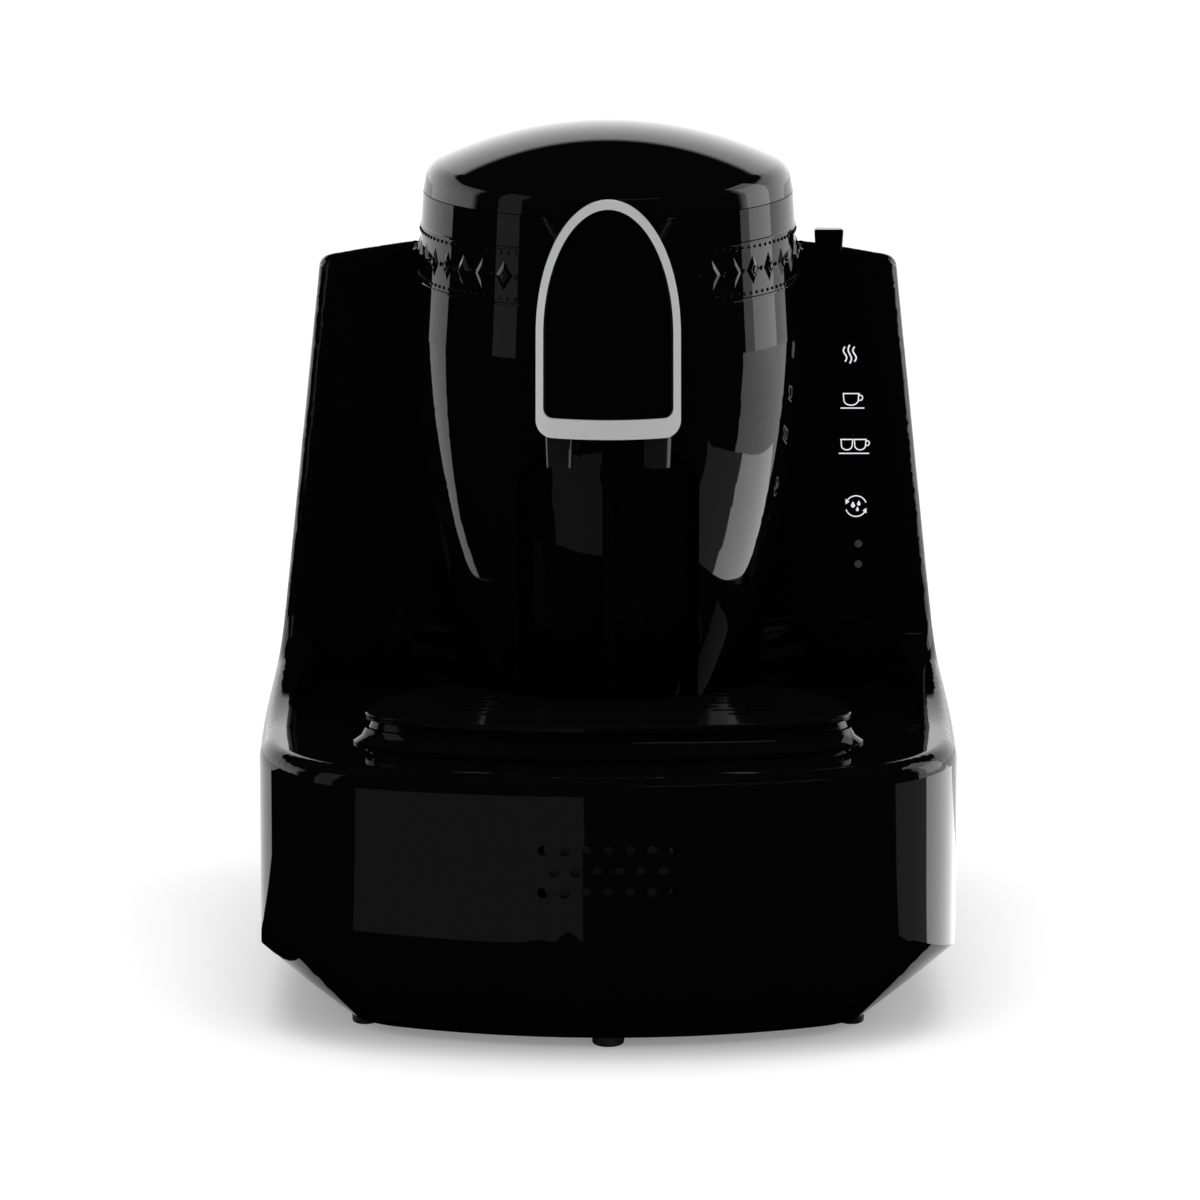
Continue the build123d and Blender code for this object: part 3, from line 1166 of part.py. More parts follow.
# ---- all the pieces -----------------------------------------------------
def pieces():
    moulding = deck_moulding()
    made = {
        "base_pan": base_pan(), "base_shell": base_shell(), "base_screws": base_screws(),
        "body_shell": body_shell(moulding), "column_shell": column_shell(), "collar": collar(),
        "spout_head": spout_head(), "plaque_frame": plaque_frame(),
        "plaque_insert": plaque_insert(), "nozzle_left": nozzle(-1), "nozzle_right": nozzle(1),
        "pour_channel": pour_channel(), "brew_pot": brew_pot(), "pot_seal": pot_seal(),
        "pot_jacket": pot_jacket(), "heater_plate": heater_plate(),
        "heating_element": heating_element(), "thermostat": thermostat(),
        "thermal_fuse": thermal_fuse(), "valve_body": valve_body(),
        "valve_plunger": valve_plunger(), "valve_spring": valve_spring(),
        "solenoid_coil": solenoid_coil(), "foam_sensor": foam_sensor(),
        "water_inlet": water_inlet(), "lid_dome": lid_dome(), "lid_liner": lid_liner(),
        "lid_gasket": lid_gasket(), "lid_hinge_pin": lid_hinge_pin(),
        "water_tank": water_tank(), "tank_valve": tank_valve(),
        "tank_hinge_pins": tank_hinge_pins(), "tank_cover": tank_cover(moulding),
        "cover_tab": cover_tab(moulding), "tank_dock": tank_dock(),
        "tank_dock_seal": tank_dock_seal(),
        "hose_suction": hose_suction(), "hose_delivery": hose_delivery(),
        "water_pump": water_pump(), "pump_mounts": pump_mounts(), "drip_tray": drip_tray(),
        "cup_stand": cup_stand(), "switch_housing": switch_housing(),
        "power_rocker": power_rocker(), "cord_gland": cord_gland(), "speaker": speaker(),
        "power_board": power_board(), "board_components": board_components(),
        "control_board": control_board(), "touch_board": touch_board(),
        "indicator_lenses": indicator_lenses(),
    }
    for name, (x, y, r) in FEET.items():
        made[name] = foot(x, y, r)
    return made


os.makedirs("parts", exist_ok=True)
for node, shape in pieces().items():
    export_step(shape, f"parts/{node}.step")
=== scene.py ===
import json
import math

import bmesh
import bpy
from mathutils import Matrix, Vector


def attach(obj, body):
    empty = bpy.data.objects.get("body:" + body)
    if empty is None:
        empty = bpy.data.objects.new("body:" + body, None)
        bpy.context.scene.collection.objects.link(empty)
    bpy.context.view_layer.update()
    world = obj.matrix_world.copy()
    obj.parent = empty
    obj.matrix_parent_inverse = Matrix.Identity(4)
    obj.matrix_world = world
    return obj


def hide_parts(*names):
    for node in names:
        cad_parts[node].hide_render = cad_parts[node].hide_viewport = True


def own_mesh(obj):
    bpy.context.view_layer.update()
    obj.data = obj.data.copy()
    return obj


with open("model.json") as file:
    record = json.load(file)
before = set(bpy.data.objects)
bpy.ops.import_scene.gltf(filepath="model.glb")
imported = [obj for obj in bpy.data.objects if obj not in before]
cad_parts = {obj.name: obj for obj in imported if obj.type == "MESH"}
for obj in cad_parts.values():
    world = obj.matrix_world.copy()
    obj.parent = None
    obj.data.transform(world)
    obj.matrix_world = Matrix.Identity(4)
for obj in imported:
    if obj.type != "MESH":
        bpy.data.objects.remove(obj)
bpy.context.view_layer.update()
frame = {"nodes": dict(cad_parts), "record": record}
nodes = frame["nodes"]

# ---- camera -------------------------------------------------------------
# A long studio lens a good way off, a little above the machine, looking straight at its front.
# Lens and sensor are in millimetres, all other lengths in metres.
AXIS_Y = -0.0008          # upright axis of column, collar, pot and lid
CAMERA_LENS = 199.8
CAMERA_SENSOR = 36.0
CAMERA_DISTANCE = 2.4
CAMERA_ELEVATION = math.radians(12.5)
CAMERA_AIM = (-0.00286, AXIS_Y, 0.1324)


def put(name, data):
    """New object, linked into the scene."""
    thing = bpy.data.objects.new(name, data)
    bpy.context.scene.collection.objects.link(thing)
    return thing


camera = put("camera", bpy.data.cameras.new("camera"))
camera.data.lens = CAMERA_LENS
camera.data.sensor_width = CAMERA_SENSOR
camera.location = (CAMERA_AIM[0],
                   CAMERA_AIM[1] - CAMERA_DISTANCE * math.cos(CAMERA_ELEVATION),
                   CAMERA_AIM[2] + CAMERA_DISTANCE * math.sin(CAMERA_ELEVATION))
camera.rotation_euler = (math.pi / 2 - CAMERA_ELEVATION, 0, 0)
bpy.context.scene.camera = camera
bpy.context.scene.view_settings.view_transform = "Standard"

# ---- base ---------------------------------------------------------------
# Bowed tub and raked pan, injection moulded in black ABS with a polished skin. The pan clips
# into the tub along the parting line and four long screws hold both under the deck.
DEEP_BLACK = (0.0014, 0.0014, 0.0016)
GLOSS_IOR = 1.43
PEEL_SCALE, PEEL_DEPTH = 420.0, 2.4e-6        # orange peel: noise scale, depth of its relief
WIPING_SCALE, WIPING_ROUGH = 900.0, 0.03      # hairline marks: scale, roughness they add
HAZE_SCALE = 26.0
DUST_SCALE, DUST_SHARE = 2600.0, 0.35
DUST_GAIN, DUST_LIFT = 2.2, 0.0012            # dust's colour: the black times one, plus the other
MERGE_WITHIN = 2e-6                           # corners of a solid's facets that are the same
TURN_SCALE = 0.003                            # a radian of turn counts as this length


def body_of(node_name):
    """Body that carries a node."""
    for body, members in frame["record"]["behaviour"]["bodies"].items():
        if node_name in members:
            return body


def polished(node_name, material, crease=32.0):
    """Moulded skin over a node: the same form, facets run together up to a crease in degrees."""
    mesh = nodes[node_name].data.copy()
    mesh.name = node_name + "_skin"
    form = bmesh.new()
    form.from_mesh(mesh)
    bmesh.ops.remove_doubles(form, verts=form.verts, dist=MERGE_WITHIN)
    for face in form.faces:
        face.smooth = True
        face.material_index = 0
    for edge in form.edges:
        edge.smooth = edge.is_manifold and edge.calc_face_angle() < math.radians(crease)
    form.to_mesh(mesh)
    form.free()
    if "custom_normal" in mesh.attributes:
        mesh.attributes.remove(mesh.attributes["custom_normal"])
    mesh.materials.clear()
    mesh.materials.append(material)
    piece = put(node_name + "_skin", mesh)
    even = piece.modifiers.new("even_normals", "WEIGHTED_NORMAL")
    even.keep_sharp = True
    even.mode = "FACE_AREA_WITH_ANGLE"
    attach(piece, body_of(node_name))
    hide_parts(node_name)
    return piece


def dress(node_name, material):
    """Finish laid on a node as it is."""
    nodes[node_name].data.materials.clear()
    nodes[node_name].data.materials.append(material)


def tree_maths(tree, how, first, second=None):
    """Math node of a tree on numbers or outputs."""
    node = tree.nodes.new("ShaderNodeMath")
    node.operation = how
    for socket, value in zip(node.inputs, (first, second)):
        if isinstance(value, (int, float)):
            socket.default_value = value
        elif value is not None:
            tree.links.new(value, socket)
    return node.outputs[0]


def tree_ramp(tree, value, low, high, to_low, to_high, ease="LINEAR"):
    """Value between two others, mapped to a range."""
    node = tree.nodes.new("ShaderNodeMapRange")
    node.interpolation_type = ease
    for socket, number in (("From Min", low), ("From Max", high), ("To Min", to_low),
                           ("To Max", to_high)):
        node.inputs[socket].default_value = number
    tree.links.new(value, node.inputs["Value"])
    return node.outputs["Result"]


class Finish:
    """A material under construction: its shader and short ways to add nodes."""

    def __init__(self, name, colour, rough, metal=0.0, ior=1.5):
        self.material = bpy.data.materials.new(name)
        self.material.use_nodes = True
        self.tree = self.material.node_tree
        self.shader = self.tree.nodes["Principled BSDF"]
        self.shader.inputs["Base Color"].default_value = (*colour, 1)
        self.shader.inputs["Roughness"].default_value = rough
        self.shader.inputs["Metallic"].default_value = metal
        self.shader.inputs["IOR"].default_value = ior
        self.place = self.add("ShaderNodeTexCoord").outputs["Object"]

    def add(self, kind, **settings):
        """New node with its settings."""
        node = self.tree.nodes.new(kind)
        for name, value in settings.items():
            setattr(node, name, value)
        return node

    def link(self, output, node_input):
        """Lead an output into an input."""
        self.tree.links.new(output, node_input)

    def maths(self, how, first, second):
        """Two values worked into one."""
        return tree_maths(self.tree, how, first, second)

    def ramp(self, value, low, high, to_low, to_high):
        """Value between two others, mapped to a range."""
        return tree_ramp(self.tree, value, low, high, to_low, to_high)

    def stretch(self, x, y, z):
        """Place on the object, scaled along each axis."""
        mapping = self.add("ShaderNodeMapping")
        mapping.inputs["Scale"].default_value = (x, y, z)
        self.link(self.place, mapping.inputs["Vector"])
        return mapping.outputs["Vector"]

    def around(self):
        """Place in turns round the frame's upright: slow along the turn, quick across it."""
        parts, spun = self.add("ShaderNodeSeparateXYZ"), self.add("ShaderNodeCombineXYZ")
        radius = self.add("ShaderNodeVectorMath", operation="LENGTH")
        level = self.add("ShaderNodeCombineXYZ")
        self.link(self.place, parts.inputs[0])
        self.link(parts.outputs["X"], level.inputs["X"])
        self.link(parts.outputs["Y"], level.inputs["Y"])
        self.link(level.outputs[0], radius.inputs[0])
        angle = self.maths("ARCTAN2", parts.outputs["Y"], parts.outputs["X"])
        self.link(self.maths("MULTIPLY", angle, TURN_SCALE), spun.inputs["X"])
        self.link(radius.outputs["Value"], spun.inputs["Y"])
        self.link(parts.outputs["Z"], spun.inputs["Z"])
        return spun.outputs[0]

    def noise(self, scale, detail, vector=None):
        """Cloudy value, mostly between 0.3 and 0.7."""
        noise = self.add("ShaderNodeTexNoise")
        noise.inputs["Scale"].default_value = scale
        noise.inputs["Detail"].default_value = detail
        self.link(vector or self.place, noise.inputs["Vector"])
        return noise.outputs["Fac"]

    def tint(self, value, dark, light):
        """Colour between two by a value."""
        mix = self.add("ShaderNodeMix", data_type="RGBA")
        mix.inputs["A"].default_value = (*dark, 1)
        mix.inputs["B"].default_value = (*light, 1)
        self.link(value, mix.inputs["Factor"])
        self.link(mix.outputs["Result"], self.shader.inputs["Base Color"])

    def rough(self, value):
        """Roughness by a value."""
        self.link(value, self.shader.inputs["Roughness"])

    def bump(self, height, depth):
        """Relief of a height map, depth in metres."""
        bump = self.add("ShaderNodeBump")
        bump.inputs["Strength"].default_value = 1.0
        bump.inputs["Distance"].default_value = depth
        self.link(height, bump.inputs["Height"])
        self.link(bump.outputs["Normal"], self.shader.inputs["Normal"])

    def mottled(self, scale, detail, dark, light):
        """Colour that drifts between two over the surface."""
        self.tint(self.noise(scale, detail), dark, light)

    def clouded(self, scale, detail, smooth, dull):
        """Roughness that drifts between two values over the surface."""
        self.rough(self.ramp(self.noise(scale, detail), 0.3, 0.7, smooth, dull))

    def grained(self, scale, detail, depth):
        """Even fine relief, depth in metres."""
        self.bump(self.noise(scale, detail), depth)


def gloss_black(name, colour=DEEP_BLACK, rough=0.018, peel=1.0):
    """Polished black moulding: faint orange peel, hairline wiping marks, a trace of dust."""
    finish = Finish(name, colour, rough, ior=GLOSS_IOR)
    marks = finish.noise(WIPING_SCALE, 2.0, finish.stretch(1.0, 1.0, 0.04))
    hairlines = finish.ramp(marks, 0.58, 0.75, 0.0, WIPING_ROUGH)
    haze = finish.ramp(finish.noise(HAZE_SCALE, 3.0), 0.35, 0.75, rough * 0.8, rough * 1.5)
    finish.rough(finish.maths("ADD", hairlines, haze))
    dust = finish.ramp(finish.noise(DUST_SCALE, 1.0), 0.70, 0.80, 0.0, DUST_SHARE)
    finish.tint(dust, colour, tuple(channel * DUST_GAIN + DUST_LIFT for channel in colour))
    finish.grained(PEEL_SCALE, 1.0, PEEL_DEPTH * peel)
    return finish.material


shell_black = gloss_black("gloss_black_shell")
polished("base_shell", shell_black)
polished("base_pan", shell_black)

screw_steel = Finish("zinc_plated_screw", (0.55, 0.55, 0.53), 0.32, metal=1.0)
screw_steel.clouded(700.0, 3.0, smooth=0.24, dull=0.44)
screw_steel.grained(2400.0, 2.0, depth=6e-6)
dress("base_screws", screw_steel.material)

# ---- feet ---------------------------------------------------------------
# Five rubber pads pressed into bosses of the pan: moulded, matt, and scuffed a little paler
# and duller in patches.
black_rubber = Finish("black_rubber", (0.012, 0.012, 0.012), 0.6)
scuff = black_rubber.ramp(black_rubber.noise(220.0, 4.0), 0.45, 0.75, 0.0, 1.0)
black_rubber.tint(scuff, (0.010, 0.010, 0.010), (0.028, 0.027, 0.026))
black_rubber.rough(black_rubber.ramp(scuff, 0.0, 1.0, 0.52, 0.74))
black_rubber.grained(3200.0, 2.0, depth=1.5e-5)
for foot in ("foot_front", "foot_left", "foot_right", "foot_rear_left", "foot_rear_right"):
    polished(foot, black_rubber.material)

# ---- speaker ------------------------------------------------------------
# Small speaker with a paper cone in a steel basket, clamped behind the sound holes. It gives
# the signal that the coffee is ready.
speaker_cone = Finish("speaker_paper_and_steel", (0.05, 0.05, 0.05), 0.5)
speaker_cone.mottled(900.0, 4.0, (0.035, 0.035, 0.035), (0.075, 0.075, 0.072))
speaker_cone.grained(1800.0, 3.0, depth=2e-5)
dress("speaker", speaker_cone.material)

# ---- deck and rear housing ----------------------------------------------
# One large gloss black moulding that closes the tub: the deck with its rolled rim, the flares
# that rise from it and the two wings of the rear housing.
polished("body_shell", shell_black)

# ---- power switch and lead bush -----------------------------------------
# Rocker switch snapped into the back in a satin black housing, and the rubber bush that the
# mains lead is pushed through.
satin_black = Finish("satin_black_moulding", (0.014, 0.014, 0.014), 0.34)
satin_black.clouded(60.0, 3.0, smooth=0.28, dull=0.42)
satin_black.grained(2600.0, 2.0, depth=8e-6)
dress("switch_housing", satin_black.material)
polished("power_rocker", satin_black.material)
polished("cord_gland", black_rubber.material)

# ---- boards -------------------------------------------------------------
# Glass-fibre boards: solder mask over copper tracks, and on the power board a relay, a
# capacitor, terminals and a heat sink.
circuit_board = Finish("board_with_tracks", (0.008, 0.06, 0.028), 0.4)
tracks = circuit_board.add("ShaderNodeTexVoronoi", distance="CHEBYCHEV")
tracks.inputs["Scale"].default_value = 260.0
circuit_board.link(circuit_board.place, tracks.inputs["Vector"])
track_lines = circuit_board.ramp(tracks.outputs["Distance"], 0.30, 0.36, 0.0, 1.0)
circuit_board.tint(track_lines, (0.006, 0.045, 0.020), (0.016, 0.105, 0.045))
circuit_board.rough(circuit_board.ramp(track_lines, 0.0, 1.0, 0.32, 0.5))
circuit_board.bump(track_lines, 2e-5)
for board in ("power_board", "control_board", "touch_board"):
    dress(board, circuit_board.material)
component_grey = Finish("component_cases", (0.10, 0.10, 0.105), 0.42)
component_grey.mottled(150.0, 2.0, (0.06, 0.06, 0.065), (0.20, 0.20, 0.19))
component_grey.grained(2000.0, 3.0, depth=1e-5)
dress("board_components", component_grey.material)

# ---- pump and hoses -----------------------------------------------------
# Vibrating pump hung in two rubber mounts, a suction hose from the tank's dock and a
# delivery hose up to the water inlet, both of milky silicone tube.
pump_body = Finish("pump_plastic", (0.06, 0.06, 0.065), 0.4)
pump_body.mottled(90.0, 3.0, (0.045, 0.045, 0.05), (0.085, 0.085, 0.09))
pump_body.grained(1400.0, 2.0, depth=1e-5)
dress("water_pump", pump_body.material)
dress("pump_mounts", black_rubber.material)
milky_hose = Finish("milky_silicone_tube", (0.78, 0.80, 0.80), 0.28, ior=1.41)
milky_hose.shader.inputs["Transmission Weight"].default_value = 0.45
milky_hose.clouded(120.0, 2.0, smooth=0.22, dull=0.38)
milky_hose.mottled(45.0, 2.0, (0.70, 0.73, 0.73), (0.84, 0.85, 0.84))
for hose in ("hose_suction", "hose_delivery"):
    polished(hose, milky_hose.material)

# ---- column -------------------------------------------------------------
# Waisted upright round form in the same gloss black, with two arched niches for the cups
# below the nozzles. It stands on the deck and carries the collar.
polished("column_shell", gloss_black("gloss_black_column", peel=0.6))

# ---- collar -------------------------------------------------------------
# Ring that closes the column's top and carries the pot. A low band is moulded proud of it:
# stepped lozenges with beads between them, finer beads above and below, and two thin lines.
COLLAR_LOW_R, COLLAR_TOP_R = 0.069, 0.0657
COLLAR_LOW_Z, COLLAR_TOP_Z = 0.232, 0.282
COLLAR_LEAN = math.atan2(COLLAR_LOW_R - COLLAR_TOP_R, COLLAR_TOP_Z - COLLAR_LOW_Z)
BAND_Z = 0.2605
BAND_HALF = 0.0098
HEAD_GAP_HALF = 0.0285        # the band stops this far either side of the spout head's middle
BOSS_SINK = 0.00015           # a boss's middle lies this far inside the collar's face
BOSS_TOP_SHARE = 0.45         # its top's width as a share of its foot's
MOTIF_COUNT, FINE_BEAD_COUNT = 44, 132
FINE_BEAD_INSET = 0.0018
LINE_STEPS = 150
LINE_FOOT_HALF, LINE_TOP_HALF = 0.0006, 0.0003
LINE_RELIEF, LINE_SINK = 0.00038, 0.0001
collar_black = gloss_black("gloss_black_collar", peel=0.8)
polished("collar", collar_black)


def collar_radius(z):
    """Outer radius of the tapering collar at a height."""
    share = (z - COLLAR_LOW_Z) / (COLLAR_TOP_Z - COLLAR_LOW_Z)
    return COLLAR_LOW_R + (COLLAR_TOP_R - COLLAR_LOW_R) * share


def grow(tree, sizes, material, name, body):
    """Run a geometry tree with the given sizes and keep the result as a plain piece."""
    host = put(name + "_grow", bpy.data.meshes.new(name + "_grow"))
    modifier = host.modifiers.new("grow", "NODES")
    modifier.node_group = tree
    for item in tree.interface.items_tree:
        if item.in_out == "INPUT" and item.name in sizes:
            modifier[item.identifier] = sizes[item.name]
    bpy.context.view_layer.update()
    ready = host.evaluated_get(bpy.context.evaluated_depsgraph_get())
    mesh = bpy.data.meshes.new_from_object(ready)
    mesh.name = name
    bpy.data.objects.remove(host)
    mesh.materials.clear()
    mesh.materials.append(material)
    piece = put(name, mesh)
    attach(piece, body)


def ring_of_bosses(material):
    """Geometry tree: bosses with bevelled flanks set round a leaning ring, clear of the head."""
    tree = bpy.data.node_groups.new("ring_of_bosses", "GeometryNodeTree")
    face = tree.interface
    for label, kind, value in (("Count", "Int", 60), ("Radius", "Float", 0.067),
                               ("Height", "Float", 0.26), ("Half Width", "Float", 0.003),
                               ("Half Height", "Float", 0.005), ("Relief", "Float", 0.0004),
                               ("Sides", "Int", 4), ("Lean", "Float", 0.0),
                               ("Half Step", "Float", 0.0), ("Gap Half Width", "Float", 0.03)):
        socket = face.new_socket(label, in_out="INPUT", socket_type="NodeSocket" + kind)
        socket.default_value = value
    face.new_socket("Geometry", in_out="OUTPUT", socket_type="NodeSocketGeometry")
    add, link = tree.nodes.new, tree.links.new
    sizes, out = add("NodeGroupInput"), add("NodeGroupOutput")

    circle = add("GeometryNodeMeshCircle")
    link(sizes.outputs["Count"], circle.inputs["Vertices"])
    link(sizes.outputs["Radius"], circle.inputs["Radius"])
    place = add("GeometryNodeTransform")
    shift, turn = add("ShaderNodeCombineXYZ"), add("ShaderNodeCombineXYZ")
    shift.inputs["Y"].default_value = AXIS_Y
    link(sizes.outputs["Height"], shift.inputs["Z"])
    step = tree_maths(tree, "DIVIDE", 2 * math.pi, sizes.outputs["Count"])
    link(tree_maths(tree, "MULTIPLY", step, sizes.outputs["Half Step"]), turn.inputs["Z"])
    link(circle.outputs["Mesh"], place.inputs["Geometry"])
    link(shift.outputs[0], place.inputs["Translation"])
    link(turn.outputs[0], place.inputs["Rotation"])

    where = add("ShaderNodeSeparateXYZ")
    link(add("GeometryNodeInputPosition").outputs[0], where.inputs[0])
    near_head = tree_maths(tree, "LESS_THAN", tree_maths(tree, "ABSOLUTE", where.outputs["X"]),
                           sizes.outputs["Gap Half Width"])
    in_front = tree_maths(tree, "LESS_THAN", where.outputs["Y"], 0.0)
    keep_off = add("GeometryNodeDeleteGeometry")
    link(place.outputs["Geometry"], keep_off.inputs["Geometry"])
    link(tree_maths(tree, "MULTIPLY", near_head, in_front), keep_off.inputs["Selection"])

    boss = add("GeometryNodeMeshCone")
    link(sizes.outputs["Sides"], boss.inputs["Vertices"])
    boss.inputs["Radius Top"].default_value = BOSS_TOP_SHARE
    boss.inputs["Radius Bottom"].default_value = 1.0
    boss.inputs["Depth"].default_value = 1.0
    facing = add("ShaderNodeCombineXYZ")
    link(tree_maths(tree, "SUBTRACT", math.pi / 2, sizes.outputs["Lean"]), facing.inputs["X"])
    round_axis = tree_maths(tree, "ARCTAN2",
                            tree_maths(tree, "SUBTRACT", where.outputs["Y"], AXIS_Y),
                            where.outputs["X"])
    link(tree_maths(tree, "ADD", round_axis, math.pi / 2), facing.inputs["Z"])
    size = add("ShaderNodeCombineXYZ")
    link(sizes.outputs["Half Width"], size.inputs["X"])
    link(sizes.outputs["Half Height"], size.inputs["Y"])
    link(sizes.outputs["Relief"], size.inputs["Z"])
    bosses = add("GeometryNodeInstanceOnPoints")
    link(keep_off.outputs["Geometry"], bosses.inputs["Points"])
    link(boss.outputs["Mesh"], bosses.inputs["Instance"])
    link(facing.outputs[0], bosses.inputs["Rotation"])
    link(size.outputs[0], bosses.inputs["Scale"])

    real, finish = add("GeometryNodeRealizeInstances"), add("GeometryNodeSetMaterial")
    finish.inputs["Material"].default_value = material
    link(bosses.outputs["Instances"], real.inputs["Geometry"])
    link(real.outputs["Geometry"], finish.inputs["Geometry"])
    link(finish.outputs["Geometry"], out.inputs["Geometry"])
    return tree


bosses = ring_of_bosses(collar_black)
UPPER_BEAD_Z, LOWER_BEAD_Z = (BAND_Z + BAND_HALF - FINE_BEAD_INSET,
                              BAND_Z - BAND_HALF + FINE_BEAD_INSET)
for name, count, z, half_width, half_height, relief, sides, half_step in (
        ("band_lozenges", MOTIF_COUNT, BAND_Z, 0.0036, 0.0058, 0.00075, 4, 0.0),
        ("band_inner_lozenges", MOTIF_COUNT, BAND_Z, 0.0017, 0.0028, 0.00125, 4, 0.0),
        ("band_beads_between", MOTIF_COUNT, BAND_Z, 0.00105, 0.00105, 0.00075, 10, 0.5),
        ("band_upper_beads", FINE_BEAD_COUNT, UPPER_BEAD_Z, 0.0008, 0.0008, 0.00065, 8, 0.5),
        ("band_lower_beads", FINE_BEAD_COUNT, LOWER_BEAD_Z, 0.0008, 0.0008, 0.00065, 8, 0.5)):
    grow(bosses, {"Count": count, "Radius": collar_radius(z) - BOSS_SINK, "Height": z,
                  "Half Width": half_width, "Half Height": half_height, "Relief": relief,
                  "Sides": sides, "Lean": COLLAR_LEAN, "Half Step": half_step,
                  "Gap Half Width": HEAD_GAP_HALF}, collar_black, name, "housing")

line_section = ((-LINE_FOOT_HALF, -LINE_SINK), (-LINE_TOP_HALF, LINE_RELIEF),
                (LINE_TOP_HALF, LINE_RELIEF), (LINE_FOOT_HALF, -LINE_SINK))
for line, z in (("band_upper_line", BAND_Z + BAND_HALF), ("band_lower_line", BAND_Z - BAND_HALF)):
    form = bmesh.new()
    start = math.asin(HEAD_GAP_HALF / collar_radius(z))
    rings = []
    for i in range(LINE_STEPS + 1):
        angle = -math.pi / 2 + start + (2 * math.pi - 2 * start) * i / LINE_STEPS
        rings.append([form.verts.new(((collar_radius(z + rise) + out) * math.cos(angle),
                                      AXIS_Y + (collar_radius(z + rise) + out) * math.sin(angle),
                                      z + rise)) for rise, out in line_section])
    for one, two in zip(rings, rings[1:]):
        for k in range(len(line_section)):
            after = (k + 1) % len(line_section)
            form.faces.new((one[k], two[k], two[after], one[after]))
    form.faces.new(rings[0])
    form.faces.new(list(reversed(rings[-1])))
    bmesh.ops.recalc_face_normals(form, faces=form.faces)
    mesh = bpy.data.meshes.new(line)
    form.to_mesh(mesh)
    form.free()
    mesh.materials.append(collar_black)
    piece = put(line, mesh)
    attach(piece, "housing")

# ---- brewing pot and heater ---------------------------------------------
# Spun stainless pot held by the collar over a silicone seal, a jacket round it, and under it
# the aluminium heater plate with its sheathed element, thermostat and thermal fuse.
pot_steel = Finish("spun_steel", (0.56, 0.55, 0.54), 0.22, metal=1.0)
spun = pot_steel.noise(900.0, 3.0, pot_steel.around())
pot_steel.rough(pot_steel.ramp(spun, 0.3, 0.7, 0.16, 0.34))
pot_steel.bump(spun, 6e-6)
polished("brew_pot", pot_steel.material)
silicone = Finish("grey_silicone", (0.20, 0.20, 0.20), 0.45, ior=1.41)
silicone.mottled(160.0, 3.0, (0.16, 0.16, 0.16), (0.24, 0.24, 0.235))
silicone.grained(1500.0, 2.0, depth=1e-5)
dress("pot_seal", silicone.material)
inner_grey = Finish("inner_grey_moulding", (0.12, 0.12, 0.125), 0.48)
inner_grey.mottled(70.0, 3.0, (0.10, 0.10, 0.105), (0.145, 0.145, 0.15))
inner_grey.grained(1900.0, 2.0, depth=1.2e-5)
polished("pot_jacket", inner_grey.material)
cast_aluminium = Finish("cast_aluminium", (0.60, 0.60, 0.59), 0.45, metal=1.0)
cast_aluminium.clouded(350.0, 4.0, smooth=0.36, dull=0.58)
cast_aluminium.grained(1100.0, 4.0, depth=2e-5)
dress("heater_plate", cast_aluminium.material)
sheath_steel = Finish("heat_tinted_sheath", (0.36, 0.31, 0.26), 0.36, metal=1.0)
sheath_steel.mottled(60.0, 3.0, (0.30, 0.25, 0.20), (0.45, 0.40, 0.36))
sheath_steel.grained(900.0, 2.0, depth=8e-6)
for heater_part in ("heating_element", "thermostat", "thermal_fuse"):
    dress(heater_part, sheath_steel.material)

# ---- discharge valve ----------------------------------------------------
# Moulded valve under the pot with a sprung steel plunger that a copper coil draws up. The
# spring stands on its seat and has a mesh of its own; nothing here squashes it as the plunger
# travels.
polished("valve_body", inner_grey.material)
polished("valve_plunger", pot_steel.material)
valve_spring = polished("valve_spring", screw_steel.material, crease=60.0)
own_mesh(valve_spring)
winding = Finish("enamelled_winding", (0.62, 0.24, 0.10), 0.3, metal=1.0)
turns = winding.add("ShaderNodeTexWave", bands_direction="Z")
turns.inputs["Scale"].default_value = 420.0
winding.link(winding.place, turns.inputs["Vector"])
# The colour follows the bump: painted shade in the grooves between the turns and painted sheen on
# their crowns, over a relief that is real.
winding.tint(turns.outputs["Fac"], (0.40, 0.13, 0.05), (0.72, 0.32, 0.15))
winding.bump(turns.outputs["Fac"], 6e-5)
dress("solenoid_coil", winding.material)

# ---- pour channel -------------------------------------------------------
# Two-way chute from the valve to the nozzles, moulded in the same grey heat-proof plastic as
# the pot's jacket.
polished("pour_channel", inner_grey.material)

# ---- spout head ---------------------------------------------------------
# Arched body that stands proud of the collar and leans out towards its foot. A satin chromed
# ring runs round it and holds the bare gloss black plate; two nozzles hang below.
polished("spout_head", gloss_black("gloss_black_head", peel=0.5))
satin_chrome = Finish("satin_chrome_plating", (0.90, 0.90, 0.91), 0.4, metal=0.52)
pearl = satin_chrome.noise(5200.0, 2.0)
satin_chrome.clouded(60.0, 2.0, smooth=0.36, dull=0.42)
satin_chrome.tint(pearl, (0.87, 0.87, 0.88), (0.93, 0.93, 0.94))
satin_chrome.bump(pearl, 1.2e-6)
polished("plaque_frame", satin_chrome.material, crease=26.0)
plate_black = gloss_black("gloss_black_plaque", (0.0011, 0.0011, 0.0013), rough=0.015, peel=0.25)
polished("plaque_insert", plate_black)
nozzle_black = gloss_black("nozzle_black", (0.008, 0.008, 0.0085), rough=0.12, peel=2.0)
for nozzle in ("nozzle_left", "nozzle_right"):
    polished(nozzle, nozzle_black)

# ---- lid ----------------------------------------------------------------
# Gloss black dome with a grey liner and a silicone gasket clipped inside. It turns on a
# steel pin behind the collar.
polished("lid_dome", gloss_black("gloss_black_lid", (0.0016, 0.0016, 0.0018), peel=0.7))
polished("lid_liner", inner_grey.material)
dress("lid_gasket", silicone.material)
dress("lid_hinge_pin", screw_steel.material)

